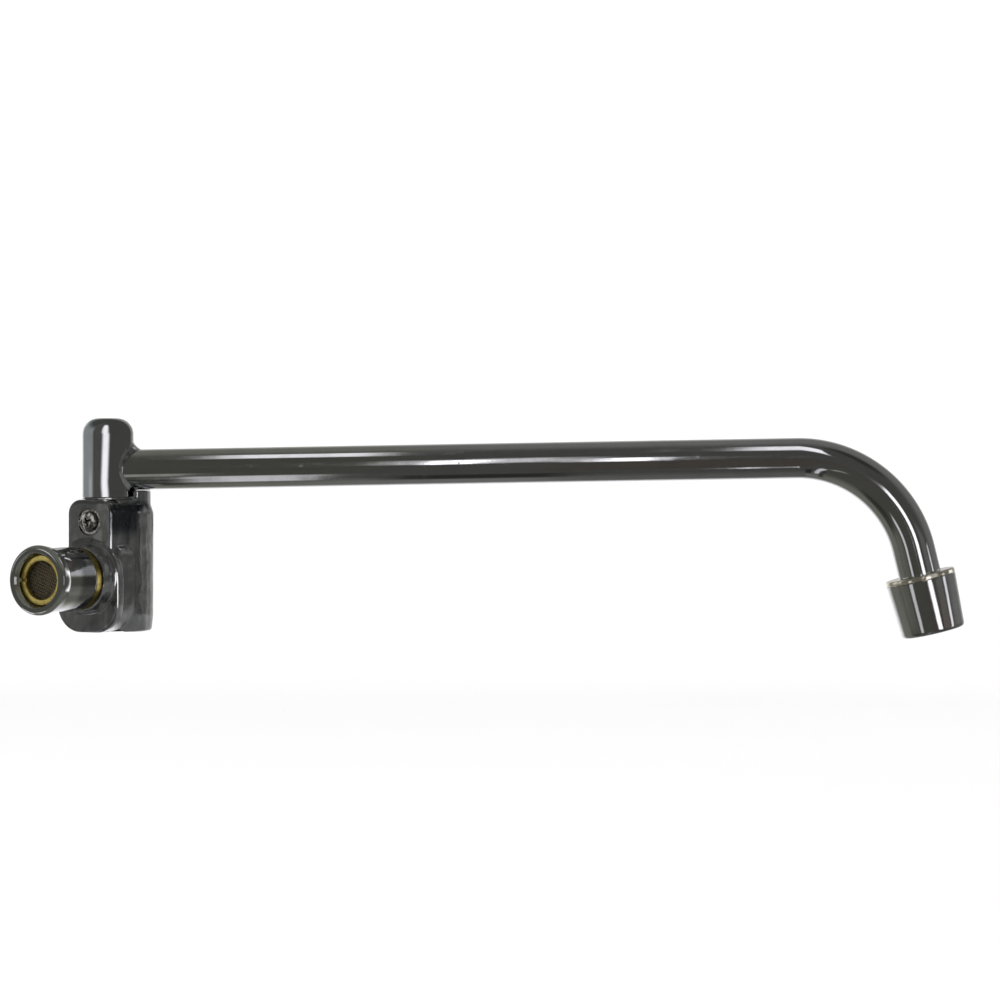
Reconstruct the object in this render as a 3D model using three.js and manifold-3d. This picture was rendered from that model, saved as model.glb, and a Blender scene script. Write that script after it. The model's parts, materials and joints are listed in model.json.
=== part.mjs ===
// Swing faucet for a wok range, with a valve that the swing of the spout opens and shuts.
//
// Millimetres, +Z up. The origin is the centre of the inlet's end face. +Y points out of the inlet,
// towards the wall union that carries the faucet. The spout swings about a vertical axis that
// crosses the Y axis behind the inlet. A distance "ahead" is measured from that swivel axis
// towards the inlet.

import * as THREE from 'three';
import { mergeGeometries, mergeVertices } from 'three/addons/utils/BufferGeometryUtils.js';
import Module from 'manifold-3d';

const wasm = await Module();
wasm.setup();

// ---------------------------------------------------------------- driving dimensions

// Layout
const SWIVEL_TO_INLET = 49;
const SWING_AT_REST = 30; // degrees, from the shut position, where the spout lies along the wall
const SWING_OPEN = 105; // degrees, the stop at the open end
const ARM_ABOVE_BODY = 12.6; // body's top to the tube's axis, at the swivel axis
const POST_ABOVE_ARM = 22.3; // tube's axis to the post's top
const SPOUT_RISE = 1; // degrees, the arm climbs a little towards the bend

// Clearances
const SEAT_GAP = 0.3; // between fixed pieces that seat on each other
const SLIP_GAP = 0.15; // between a seal, a brazed or a pressed piece and its neighbour
const RUN_GAP = 0.3; // radial, journals and sliding stems

// Body casting
const BODY_TOP = 33.7;
const BODY_BOTTOM = -23;
const BLOCK_WIDTH = 24;
const UPPER_FACE = 12.9; // screw face, ahead of the swivel axis
const BLOCK_TOP_CORNER = 6;
const BLOCK_EDGE = 1.6;
const LOWER_BLOCK_WIDTH = 29;
const LOWER_BLOCK_TOP = 15;
const LOWER_BLOCK_CORNER = 9.5;
const TONGUE_RADIUS = 16.4; // round the inlet's axis
const TONGUE_CORNER = 12;
const TONGUE_BACK = 10.3;
const TONGUE_FACE = 14.3;
const TONGUE_EDGE = 0.9;
const BOSS_RADIUS = 14.2; // at the narrow end of the flare
const BOSS_END = 21;
const REAR_OFFSET = 6; // centre of the round back, behind the swivel axis
const REAR_RADIUS = 15.9;
const REAR_DRAFT = 0.5;
const REAR_EDGE = 1.6;
const SHOULDER_DROP = 5.5;
const SHOULDER_STEP = 1.2;
const ARM_CLEARANCE = 0.5; // between the swinging tube and the crescent lug under it
const LUG_SETBACK = 2;
const LUG_RELIEF = 13.2; // clear radius round the swivel axis
const LUG_EDGE = 0.7;

// Swivel bore, spindle and its seals
const BORE_RADIUS = 10;
const CHAMBER_FLOOR = -14.5;
const SPINDLE_BORE = 6.2;
const SPINDLE_DISC_BOTTOM = 9.5;
const SPINDLE_DISC = 2.5;
const SPINDLE_SPIGOT = 8;
const WINDOW_RADIUS = 1.3;
const WINDOW_CIRCLE = 4.5;
const WINDOW_COUNT = 6;
const SWIVEL_SEAL_UPPER = 29.3;
const SWIVEL_SEAL_LOWER = 17.3;
const SWIVEL_SEAL_CORD = 1.7; // cord diameter
const SEAL_GROOVE_WIDTH = 2.4;
const WASHER_THICKNESS = 0.5;

// Stop screw in the face of the body
const SCREW_HEIGHT = 24.3;
const SCREW_RADIUS = 2;
const SCREW_HEAD_RADIUS = 4.1;
const SCREW_HEAD_HEIGHT = 2.4;
const SCREW_TIP_REACH = 8.4; // how near the tip comes to the swivel axis
const SCREW_SLOT_WIDTH = 1.1;
const SCREW_SLOT_LENGTH = 4.6;
const SCREW_SLOT_DEPTH = 1.4;
const SCREW_RECESS_RADIUS = 6.1;
const SCREW_RECESS_DEPTH = 1.6;
const SCREW_WASHER_RADIUS = 5.6;
const SCREW_WASHER_THICKNESS = 1;
const STOP_MARGIN = 1.5; // degrees of play past each end of the swing

// Post and spout
const POST_RADIUS = 10.9;
const POST_WALL = 1.7;
const POST_DOME = 6.8;
const TUBE_RADIUS = 8.7;
const TAIL_RADIUS = 9.2; // the tube is swaged wider along the bend
const TUBE_WALL = 1.2;
const ARM_LENGTH = 296.1; // swivel axis to the start of the bend
const BEND_RADIUS = 50.8;
const BEND_ANGLE = 77.4;
const TAIL_LENGTH = 11.4; // end of the bend to the top of the nozzle
const BRAZE_TOP = 3.6;
const BRAZE_BOTTOM = 1.9;

// Nozzle, measured along the flow from its top
const NOZZLE_LENGTH = 25.6;
const NOZZLE_TOP_RADIUS = 15;
const NOZZLE_BOTTOM_RADIUS = 13.6;
const NOZZLE_TOP_EDGE = 0.9;
const NOZZLE_BOTTOM_EDGE = 1.8;
const FLANGE_THICKNESS = 2;
const FLANGE_CHAMFER = 1.2;
const SLEEVE_LENGTH = 12.5;
const SLEEVE_RADIUS = 11.6;
const TUBE_ENGAGEMENT = 10;
const MOUTH_RADIUS = 10;
const MOUTH_LIP = 2.1;
const NOZZLE_WASHER = 1.6;
const HOUSING_WALL = 1.3;
const HOUSING_LEDGE = 1.1;
const STRAIGHTENER_THICKNESS = 3;
const STRAIGHTENER_PITCH = 3.6;
const STRAIGHTENER_HOLE = 1.45;
const SCREEN_THICKNESS = 0.6;
const SCREEN_PITCH = 3.4;
const SCREEN_HOLE = 1.1;

// Shut-off valve
const CAM_PITCH_AT_REST = 7.4; // swivel axis to the centre of the stem's nose
const CAM_RISE_PER_RADIAN = 2;
const CAM_THICKNESS = 8;
const CAM_SHAFT_RADIUS = 2.9;
const CAM_FLAT = 2.3;
const CAM_OVERRUN = 5; // degrees of true cam past each end of the swing
const CLIP_RADIUS = 4.9;
const CLIP_THICKNESS = 0.8;
const PILOT_RADIUS = 2.3;
const PILOT_ENGAGEMENT = 2.4;
const STEM_RADIUS = 2;
const PORT_RADIUS = 6.9;
const PORT_END = 11.4;
const SEAT_POCKET_RADIUS = 9.4;
const SEAT_POCKET_END = 14.9;
const GUIDE_REACH = 9;
const GUIDE_FLANGE = 0.8;
const GUIDE_HOLES = 6;
const GUIDE_HOLE_RADIUS = 1.35;
const GUIDE_HOLE_CIRCLE = 4.4;
const SEAT_BORE = 5;
const SEAT_THICKNESS = 1.8;
const SEAT_LIP = 0.7;
const SEAT_LIP_WIDTH = 0.7;
const VALVE_SEAL_RADIUS = 6.6;
const VALVE_SEAL_THICKNESS = 1.8;
const POPPET_RADIUS = 7.5;
const POPPET_PLATE = 2;
const POPPET_RIM = 1.4;
const NUT_RADIUS = 3.4;
const NUT_THICKNESS = 2;
const SPRING_RADIUS = 5.3;
const SPRING_WIRE = 0.45; // wire radius
const SPRING_TURNS = 6;

// Inlet coupling
const THREAD_BORE = 9.7;
const SPIGOT_RADIUS = 9.4;
const SPIGOT_BORE = 8.2;
const LOCK_RING_RADIUS = 13.2;
const LOCK_RING_THICKNESS = 3.6;
const BARREL_RADIUS = 13.7;
const BARREL_EDGE = 0.7;
const INLET_BORE = 10.9;
const INLET_STEP = 35; // where the bore widens, ahead of the swivel axis
const COLLAR_STEP = 1; // how far the collar stands out from the barrel
const COLLAR_LENGTH = 6.6;
const COLLAR_ROUND = 1.8;
const COLLAR_LAND = 2.8; // straight part of its rim
const LIP_WIDTH = 1.3;
const MOUTH_CHAMFER = 0.9;
const SPRING_REST_THICKNESS = 2;
const SPRING_REST_HOLES = 6;
const SPRING_REST_HOLE_RADIUS = 1.7;
const SPRING_REST_HOLE_CIRCLE = 6.2;
const RING_RECESS = 3.2; // slotted ring, below the inlet's end face
const RING_THICKNESS = 2.2;
const RING_HOLE = 8;
const RING_SLOT_WIDTH = 1.4;
const RING_SLOT_DEPTH = 0.9;
const GASKET_THICKNESS = 0.8;
const STRAINER_THICKNESS = 0.9;
const STRAINER_PITCH = 2.7;
const STRAINER_HOLE = 1;
const SPACER_WALL = 1.1;

// Bottom plug
const PLUG_THREAD_BORE = 11.5;
const PLUG_POCKET_TOP = -14.8;
const PLUG_RECESS = 0.4;
const PLUG_SOCKET = 4.6; // corner radius of the hexagonal key socket
const PLUG_SOCKET_DEPTH = 3;
const PLUG_SEAL_CORD = 1.6;

// Facets
const ROUND = 24; // sides of the large round pieces
const SMALL_ROUND = 16; // sides of the small ones
const HOLE_SIDES = 8;
const FINE_ROUND = 28; // the chromed outer shapes
const TUBE_SIDES = 20;
const BEND_STEPS = 12;

// ---------------------------------------------------------------- finishes

function finish(color, roughness, metalness) {
  return { color, roughness, metalness };
}

const CHROME = finish(0xc9cacc, 0.08, 1);
const BRASS = finish(0xc9a24a, 0.28, 1);
const STEEL = finish(0xb4b6b8, 0.25, 1);
const BLACK_RUBBER = finish(0x1d1d1f, 0.75, 0);
const WHITE_PLASTIC = finish(0xe6e6e0, 0.45, 0);

// ---------------------------------------------------------------- solids

const degrees = THREE.MathUtils.degToRad;

// Signed volume tells whether the faces point out.
function signedVolume(position, index) {
  const a = new THREE.Vector3();
  const b = new THREE.Vector3();
  const c = new THREE.Vector3();
  let volume = 0;
  for (let i = 0; i < index.length; i += 3) {
    a.fromBufferAttribute(position, index[i]);
    b.fromBufferAttribute(position, index[i + 1]);
    c.fromBufferAttribute(position, index[i + 2]);
    volume += a.dot(b.cross(c)) / 6;
  }
  return volume;
}

// Merge shared vertices, drop the collapsed triangles at poles, and turn the faces outwards.
function closed(geometry) {
  const bare = geometry.clone();
  bare.deleteAttribute('normal');
  bare.deleteAttribute('uv');
  const merged = mergeVertices(bare, 1e-4);
  const source = merged.index.array;
  const index = [];
  for (let i = 0; i < source.length; i += 3) {
    const [a, b, c] = [source[i], source[i + 1], source[i + 2]];
    if (a !== b && b !== c && c !== a) index.push(a, b, c);
  }
  if (signedVolume(merged.attributes.position, index) < 0) index.reverse();
  merged.setIndex(index);
  return merged;
}

function toManifold(geometry) {
  const { attributes, index } = closed(geometry);
  const vertProperties = new Float32Array(attributes.position.array);
  const triVerts = new Uint32Array(index.array);
  return new wasm.Manifold(new wasm.Mesh({ numProp: 3, vertProperties, triVerts }));
}

function toGeometry(manifold) {
  const { vertProperties, triVerts } = manifold.getMesh();
  const geometry = new THREE.BufferGeometry();
  geometry.setAttribute('position', new THREE.BufferAttribute(new Float32Array(vertProperties), 3));
  geometry.setIndex(new THREE.BufferAttribute(new Uint32Array(triVerts), 1));
  return geometry;
}

function join(...pieces) {
  return toGeometry(pieces.map(toManifold).reduce((sum, piece) => sum.add(piece)));
}

function cut(base, ...tools) {
  return toGeometry(tools.map(toManifold).reduce((rest, tool) => rest.subtract(tool), toManifold(base)));
}

function common(first, second) {
  return toGeometry(toManifold(first).intersect(toManifold(second)));
}

const toPoints = (pairs) => pairs.map(([x, y]) => new THREE.Vector2(x, y));

// A profile of [radius, height] turned about the Z axis.
function turnedZ(profile, sides = ROUND) {
  return new THREE.LatheGeometry(toPoints(profile), sides).rotateX(Math.PI / 2);
}

// A profile of [radius, distance] turned about the Y axis.
function turnedY(profile, sides = ROUND) {
  return new THREE.LatheGeometry(toPoints(profile), sides);
}

const rod = (radius, low, high) => [[0, low], [radius, low], [radius, high], [0, high]];

function ring(inner, outer, low, high) {
  return [[inner, low], [outer, low], [outer, high], [inner, high], [inner, low]];
}

// A round profile of a seal's cord, closed on itself.
function cord(centreRadius, height, cordDiameter, points = 6) {
  const profile = [];
  for (let i = 0; i <= points; i += 1) {
    const turn = (2 * Math.PI * (i % points)) / points;
    profile.push([
      centreRadius + (cordDiameter / 2) * Math.cos(turn),
      height + (cordDiameter / 2) * Math.sin(turn),
    ]);
  }
  return profile;
}

// Points of a quarter round from one direction to another, angles in degrees.
function arc(centreX, centreY, radius, from, to, steps = 5) {
  const points = [];
  for (let i = 0; i <= steps; i += 1) {
    const turn = degrees(from + ((to - from) * i) / steps);
    points.push([centreX + radius * Math.cos(turn), centreY + radius * Math.sin(turn)]);
  }
  return points;
}

function extrudedZ(shape, low, high) {
  const settings = { depth: high - low, bevelEnabled: false, curveSegments: 6 };
  return new THREE.ExtrudeGeometry(shape, settings).translate(0, 0, low);
}

// The shape's x stays X and its y becomes Z.
function extrudedY(shape, low, high) {
  const settings = { depth: high - low, bevelEnabled: false, curveSegments: 6 };
  return new THREE.ExtrudeGeometry(shape, settings).rotateX(Math.PI / 2).translate(0, high, 0);
}

const outline = (points) => new THREE.Shape(toPoints(points));

function box(width, depth, height, x, y, z) {
  return new THREE.BoxGeometry(width, depth, height).translate(x, y, z);
}

// Skins a closed loop of rings. Each ring is a closed loop of [x, y, z] points.
function skinned(rings) {
  const count = rings[0].length;
  const index = [];
  rings.forEach((unused, i) => {
    const next = (i + 1) % rings.length;
    for (let j = 0; j < count; j += 1) {
      const a = i * count + j;
      const b = i * count + ((j + 1) % count);
      const c = next * count + j;
      const d = next * count + ((j + 1) % count);
      index.push(a, b, c, b, d, c);
    }
  });
  const geometry = new THREE.BufferGeometry();
  geometry.setAttribute('position', new THREE.Float32BufferAttribute(rings.flat(2), 3));
  geometry.setIndex(index);
  return geometry;
}

// Copies of a piece spread round an axis.
function spread(count, make) {
  return Array.from({ length: count }, (unused, i) => make((2 * Math.PI * i) / count, i));
}

// ---------------------------------------------------------------- groups and nodes

const ahead = (distance) => distance - SWIVEL_TO_INLET; // to a Y coordinate

const faucet = new THREE.Group();
const swivel = new THREE.Group(); // local +X runs along the arm, origin on the swivel axis
const spoutHeading = 180 + SWING_AT_REST;
swivel.position.set(0, ahead(0), 0);
swivel.rotation.z = degrees(spoutHeading);
faucet.add(swivel);

function node(name, geometry, look, parent = faucet) {
  const solid = closed(geometry);
  solid.computeVertexNormals();
  const mesh = new THREE.Mesh(solid, new THREE.MeshStandardMaterial({ ...look }));
  mesh.name = name;
  parent.add(mesh);
  return mesh;
}

// ---------------------------------------------------------------- body casting

const spoutHeight = BODY_TOP + ARM_ABOVE_BODY;
const lugTop = spoutHeight - TUBE_RADIUS - ARM_CLEARANCE;

// Rounded rectangle in the face's plane.
function blockOutline(width, bottom, top, bottomCorner, topCorner) {
  const half = width / 2;
  return outline([
    ...arc(-half + bottomCorner, bottom + bottomCorner, bottomCorner, 180, 270),
    ...arc(half - bottomCorner, bottom + bottomCorner, bottomCorner, 270, 360),
    ...arc(half - topCorner, top - topCorner, topCorner, 0, 90),
    ...arc(-half + topCorner, top - topCorner, topCorner, 90, 180),
  ]);
}

function castBlock(width, front, face) {
  const half = width / 2;
  const plan = outline([
    [-half, -REAR_OFFSET],
    [half, -REAR_OFFSET],
    ...arc(half - BLOCK_EDGE, face - BLOCK_EDGE, BLOCK_EDGE, 0, 90, 4),
    ...arc(-half + BLOCK_EDGE, face - BLOCK_EDGE, BLOCK_EDGE, 90, 180, 4),
  ]);
  const slab = extrudedY(front, -REAR_OFFSET - 1, face + 1);
  return common(slab, extrudedZ(plan, BODY_BOTTOM - 1, BODY_TOP + 1)).translate(0, ahead(0), 0);
}

// The plate round the inlet: a semicircle above, straight sides, and a flat foot with big corners.
function tongue() {
  const edge = TONGUE_EDGE;
  const half = TONGUE_RADIUS - edge;
  const corner = TONGUE_CORNER - edge;
  const foot = BODY_BOTTOM + edge;
  const shape = outline([
    ...arc(-half + corner, foot + corner, corner, 180, 270, 6),
    ...arc(half - corner, foot + corner, corner, 270, 360, 6),
    ...arc(0, 0, half, 0, 180, 16),
  ]);
  const depth = TONGUE_FACE - TONGUE_BACK - 2 * edge;
  const plate = new THREE.ExtrudeGeometry(shape, {
    depth,
    bevelSize: edge,
    bevelThickness: edge,
    bevelSegments: 2,
  });
  return plate.rotateX(Math.PI / 2).translate(0, ahead(TONGUE_FACE - edge), 0);
}

// Trumpet-shaped root of the inlet, concave from the tongue's rim to the narrow end.
function inletFlare() {
  const steps = 6;
  const rim = TONGUE_RADIUS - TONGUE_EDGE;
  const profile = [[0, ahead(0)], [rim, ahead(0)]];
  for (let i = 0; i <= steps; i += 1) {
    const turn = (Math.PI * i) / (2 * steps);
    const radius = rim - (rim - BOSS_RADIUS) * Math.sin(turn);
    profile.push([radius, ahead(BOSS_END - (BOSS_END - TONGUE_FACE + TONGUE_EDGE) * Math.cos(turn))]);
  }
  profile.push([0, ahead(BOSS_END)]);
  const front = box(3 * rim, BOSS_END, 3 * rim, 0, ahead(TONGUE_BACK + 1 + BOSS_END / 2), 0);
  return common(turnedY(profile, FINE_ROUND), front);
}

function roundBack() {
  const low = REAR_RADIUS - REAR_DRAFT;
  const neck = REAR_RADIUS - SHOULDER_STEP;
  const shoulder = BODY_TOP - SHOULDER_DROP;
  return turnedZ([
    [0, BODY_BOTTOM],
    ...arc(low - REAR_EDGE, BODY_BOTTOM + REAR_EDGE, REAR_EDGE, -90, 0, 4),
    [REAR_RADIUS, shoulder - 6],
    [REAR_RADIUS, shoulder],
    [REAR_RADIUS - SHOULDER_STEP * 0.3, shoulder + SHOULDER_DROP * 0.3],
    [neck, shoulder + SHOULDER_DROP * 0.6],
    [neck, BODY_TOP],
    [0, BODY_TOP],
  ], FINE_ROUND).translate(0, ahead(-REAR_OFFSET), 0);
}

function rearLug() {
  const radius = REAR_RADIUS - SHOULDER_STEP;
  const crown = turnedZ([
    [0, BODY_TOP - 1],
    [radius, BODY_TOP - 1],
    [radius, lugTop - LUG_EDGE],
    [radius - LUG_EDGE, lugTop],
    [0, lugTop],
  ], FINE_ROUND).translate(0, ahead(-REAR_OFFSET), 0);
  const span = 3 * REAR_RADIUS;
  const front = box(span, span, span, 0, ahead(-LUG_SETBACK) + span / 2, BODY_TOP + span / 2);
  const relief = turnedZ(rod(LUG_RELIEF, BODY_TOP, lugTop + 1)).translate(0, ahead(0), 0);
  return cut(crown, front, relief);
}

function valveBody() {
  const upper = castBlock(
    BLOCK_WIDTH,
    blockOutline(BLOCK_WIDTH, 0, BODY_TOP, 1, BLOCK_TOP_CORNER),
    UPPER_FACE,
  );
  const lower = castBlock(
    LOWER_BLOCK_WIDTH,
    blockOutline(LOWER_BLOCK_WIDTH, BODY_BOTTOM, LOWER_BLOCK_TOP, LOWER_BLOCK_CORNER, BLOCK_TOP_CORNER),
    TONGUE_BACK + TONGUE_EDGE,
  );
  const casting = join(roundBack(), rearLug(), upper, lower, tongue(), inletFlare());

  const swivelBore = turnedZ(rod(BORE_RADIUS, CHAMBER_FLOOR, lugTop + 1)).translate(0, ahead(0), 0);
  const plugBore = turnedZ(rod(PLUG_THREAD_BORE, BODY_BOTTOM - 1, PLUG_POCKET_TOP))
    .translate(0, ahead(0), 0);
  const chamberMouth = turnedZ(rod(BORE_RADIUS - 1, PLUG_POCKET_TOP - 1, CHAMBER_FLOOR + 1))
    .translate(0, ahead(0), 0);
  const inletPort = turnedY([
    [0, ahead(0)],
    [PORT_RADIUS, ahead(0)],
    [PORT_RADIUS, ahead(PORT_END)],
    [SEAT_POCKET_RADIUS, ahead(PORT_END)],
    [SEAT_POCKET_RADIUS, ahead(SEAT_POCKET_END)],
    [THREAD_BORE, ahead(SEAT_POCKET_END)],
    [THREAD_BORE, ahead(BOSS_END + 1)],
    [0, ahead(BOSS_END + 1)],
  ]);
  const screwHole = turnedY(rod(SCREW_RADIUS + RUN_GAP, ahead(0), ahead(UPPER_FACE + 1)), SMALL_ROUND)
    .translate(0, 0, SCREW_HEIGHT);
  const recessFloor = UPPER_FACE - SCREW_RECESS_DEPTH;
  const screwRecess = turnedY(rod(SCREW_RECESS_RADIUS, ahead(recessFloor), ahead(TONGUE_FACE + 1)))
    .translate(0, 0, SCREW_HEIGHT);
  return cut(casting, swivelBore, plugBore, chamberMouth, inletPort, screwHole, screwRecess);
}

node('valve_body', valveBody(), CHROME);

// ---------------------------------------------------------------- bottom plug

const plugTop = PLUG_POCKET_TOP - SEAT_GAP;
const plugBottom = BODY_BOTTOM + PLUG_RECESS;
const plugRadius = PLUG_THREAD_BORE - SEAT_GAP;
const pilotHoleBottom = plugTop - PILOT_ENGAGEMENT - SEAT_GAP;
const plugSealHeight = plugTop - 2;

function bottomPlug() {
  const grooveDepth = PLUG_SEAL_CORD - SEAT_GAP + 2 * SLIP_GAP;
  const grooveHalf = PLUG_SEAL_CORD / 2 + SLIP_GAP;
  const blank = turnedZ([
    [0, plugBottom],
    [plugRadius - 0.5, plugBottom],
    [plugRadius, plugBottom + 0.5],
    [plugRadius, plugSealHeight - grooveHalf],
    [plugRadius - grooveDepth, plugSealHeight - grooveHalf],
    [plugRadius - grooveDepth, plugSealHeight + grooveHalf],
    [plugRadius, plugSealHeight + grooveHalf],
    [plugRadius, plugTop],
    [0, plugTop],
  ]);
  const socket = turnedZ(rod(PLUG_SOCKET, plugBottom - 1, plugBottom + PLUG_SOCKET_DEPTH), 6);
  const pilotHole = turnedZ(rod(PILOT_RADIUS + RUN_GAP, pilotHoleBottom, plugTop + 1), SMALL_ROUND);
  return cut(blank, socket, pilotHole).translate(0, ahead(0), 0);
}

node('bottom_plug', bottomPlug(), BRASS);

const plugSealRadius = plugRadius + SEAT_GAP - SLIP_GAP - PLUG_SEAL_CORD / 2;
node(
  'bottom_plug_seal',
  turnedZ(cord(plugSealRadius, plugSealHeight, PLUG_SEAL_CORD)).translate(0, ahead(0), 0),
  BLACK_RUBBER,
);

// ---------------------------------------------------------------- stop screw

const washerFace = UPPER_FACE - SCREW_RECESS_DEPTH + SLIP_GAP;
const headFace = washerFace + SCREW_WASHER_THICKNESS + SLIP_GAP;

function screwWasher() {
  const hole = SCREW_RADIUS + RUN_GAP;
  const edge = 0.25;
  const back = washerFace + SCREW_WASHER_THICKNESS;
  return turnedY([
    [hole, ahead(washerFace)],
    [SCREW_WASHER_RADIUS, ahead(washerFace)],
    [SCREW_WASHER_RADIUS, ahead(back - edge)],
    [SCREW_WASHER_RADIUS - edge, ahead(back)],
    [hole, ahead(back)],
    [hole, ahead(washerFace)],
  ], SMALL_ROUND).translate(0, 0, SCREW_HEIGHT);
}

function stopScrew() {
  const crown = headFace + SCREW_HEAD_HEIGHT;
  const blank = turnedY([
    [0, ahead(SCREW_TIP_REACH)],
    [SCREW_RADIUS - 0.4, ahead(SCREW_TIP_REACH)],
    [SCREW_RADIUS, ahead(SCREW_TIP_REACH + 0.4)],
    [SCREW_RADIUS, ahead(headFace)],
    [SCREW_HEAD_RADIUS, ahead(headFace)],
    [SCREW_HEAD_RADIUS, ahead(headFace + SCREW_HEAD_HEIGHT * 0.45)],
    [SCREW_HEAD_RADIUS * 0.86, ahead(headFace + SCREW_HEAD_HEIGHT * 0.82)],
    [SCREW_HEAD_RADIUS * 0.5, ahead(crown)],
    [0, ahead(crown)],
  ], SMALL_ROUND);
  const depth = 2 * SCREW_SLOT_DEPTH;
  const wide = box(SCREW_SLOT_LENGTH, depth, SCREW_SLOT_WIDTH, 0, ahead(crown), 0);
  const tall = box(SCREW_SLOT_WIDTH, depth, SCREW_SLOT_LENGTH, 0, ahead(crown), 0);
  return cut(blank, wide, tall).translate(0, 0, SCREW_HEIGHT);
}

node('stop_screw_washer', screwWasher(), STEEL);
node('stop_screw', stopScrew(), STEEL);

// ---------------------------------------------------------------- spindle and cam

const spindleRadius = BORE_RADIUS - RUN_GAP;
const washerLow = BODY_TOP + SLIP_GAP;
const washerHigh = washerLow + WASHER_THICKNESS;
const postBottom = washerHigh + SLIP_GAP;
const spindleShoulder = postBottom - SEAT_GAP;
const postBore = POST_RADIUS - POST_WALL;
const spindleSpigotRadius = postBore - SLIP_GAP;
const sealGrooveRadius = BORE_RADIUS - 2 * SLIP_GAP - SWIVEL_SEAL_CORD;
const inletHeading = 90 - spoutHeading; // the inlet's direction seen from the turning spindle
const swingBack = SWING_AT_REST; // degrees from rest to the shut stop
const swingOn = SWING_OPEN - SWING_AT_REST; // degrees from rest to the open stop
const shaftEnd = plugTop - PILOT_ENGAGEMENT;
const camHalf = CAM_THICKNESS / 2;
const clipTop = -camHalf - SEAT_GAP;
const clipGrooveRadius = PILOT_RADIUS;

function ringSector(inner, outer, from, to, low, high) {
  const points = [...arc(0, 0, outer, from, to, 16), ...arc(0, 0, inner, to, from, 16)];
  return extrudedZ(outline(points), low, high);
}

// Groove for the stop screw: its two ends are the stops of the swing.
function stopGroove() {
  const play = THREE.MathUtils.radToDeg(Math.asin(SCREW_RADIUS / SCREW_TIP_REACH)) + STOP_MARGIN;
  const from = inletHeading - swingOn - play;
  const to = inletHeading + swingBack + play;
  const half = SCREW_RADIUS + RUN_GAP;
  const floor = SCREW_TIP_REACH - RUN_GAP;
  return ringSector(floor, BORE_RADIUS + 1, from, to, SCREW_HEIGHT - half, SCREW_HEIGHT + half);
}

function sealGroove(height) {
  const half = SEAL_GROOVE_WIDTH / 2;
  return [
    [spindleRadius, height - half],
    [sealGrooveRadius, height - half],
    [sealGrooveRadius, height + half],
    [spindleRadius, height + half],
  ];
}

function spindle() {
  const blank = turnedZ([
    [0, shaftEnd],
    [PILOT_RADIUS, shaftEnd],
    [PILOT_RADIUS, clipTop],
    [CAM_SHAFT_RADIUS, clipTop],
    [CAM_SHAFT_RADIUS, SPINDLE_DISC_BOTTOM],
    [spindleRadius, SPINDLE_DISC_BOTTOM],
    ...sealGroove(SWIVEL_SEAL_LOWER),
    ...sealGroove(SWIVEL_SEAL_UPPER),
    [spindleRadius, spindleShoulder],
    [spindleSpigotRadius, spindleShoulder],
    [spindleSpigotRadius, spindleShoulder + SPINDLE_SPIGOT],
    [SPINDLE_BORE, spindleShoulder + SPINDLE_SPIGOT],
    [SPINDLE_BORE, SPINDLE_DISC_BOTTOM + SPINDLE_DISC],
    [0, SPINDLE_DISC_BOTTOM + SPINDLE_DISC],
  ]);
  const flatWidth = CAM_SHAFT_RADIUS;
  const flatHeight = CAM_THICKNESS + 2 * SEAT_GAP;
  const flat = box(flatWidth, 3 * flatWidth, flatHeight, CAM_FLAT + flatWidth / 2, 0, 0);
  const windows = spread(WINDOW_COUNT, (turn) => {
    const low = SPINDLE_DISC_BOTTOM - 1;
    return turnedZ(rod(WINDOW_RADIUS, low, low + SPINDLE_DISC + 2), HOLE_SIDES)
      .translate(WINDOW_CIRCLE * Math.cos(turn), WINDOW_CIRCLE * Math.sin(turn), 0);
  });
  return cut(blank, stopGroove(), flat, ...windows);
}

// The nose's centre follows a spiral, so each degree of swing lifts the valve by the same amount.
function camPitch(angle) {
  const first = inletHeading - swingOn - CAM_OVERRUN;
  const last = inletHeading + swingBack + CAM_OVERRUN;
  const spiral = (a) => CAM_PITCH_AT_REST + CAM_RISE_PER_RADIAN * degrees(inletHeading - a);
  if (angle <= last) return spiral(angle);
  const share = (angle - last) / (first + 360 - last);
  const ease = (1 - Math.cos(Math.PI * share)) / 2;
  return THREE.MathUtils.lerp(spiral(last), spiral(first), ease);
}

function camOutline() {
  const first = inletHeading - swingOn - CAM_OVERRUN;
  const at = (angle) => {
    const radius = camPitch(first + THREE.MathUtils.euclideanModulo(angle - first, 360));
    return new THREE.Vector2(radius * Math.cos(degrees(angle)), radius * Math.sin(degrees(angle)));
  };
  const offset = STEM_RADIUS + SLIP_GAP;
  const points = [];
  const steps = 72;
  for (let i = 0; i < steps; i += 1) {
    const angle = first + (360 * i) / steps;
    const tangent = at(angle + 0.5).sub(at(angle - 0.5)).normalize();
    const inward = new THREE.Vector2(-tangent.y, tangent.x);
    points.push(at(angle).addScaledVector(inward, offset));
  }
  return new THREE.Shape(points);
}

function cam() {
  const boreRadius = CAM_SHAFT_RADIUS + SLIP_GAP;
  const bore = turnedZ(rod(boreRadius, -camHalf - 1, camHalf + 1), SMALL_ROUND);
  const flatPlace = CAM_FLAT + SLIP_GAP + boreRadius / 2;
  const flat = box(boreRadius, 3 * boreRadius, CAM_THICKNESS + 4, flatPlace, 0, 0);
  return cut(extrudedZ(camOutline(), -camHalf, camHalf), cut(bore, flat));
}

function camClip() {
  const bore = clipGrooveRadius + SLIP_GAP;
  const high = clipTop - SEAT_GAP;
  const blank = turnedZ(ring(bore, CLIP_RADIUS, high - CLIP_THICKNESS, high), SMALL_ROUND);
  const mouth = box(CLIP_RADIUS, 1.6 * bore, 3 * CLIP_THICKNESS, CLIP_RADIUS, 0, high);
  return cut(blank, mouth);
}

node('spout_spindle', spindle(), BRASS, swivel);
node('shutoff_cam', cam(), STEEL, swivel);
node('cam_clip', camClip(), STEEL, swivel);

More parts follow.
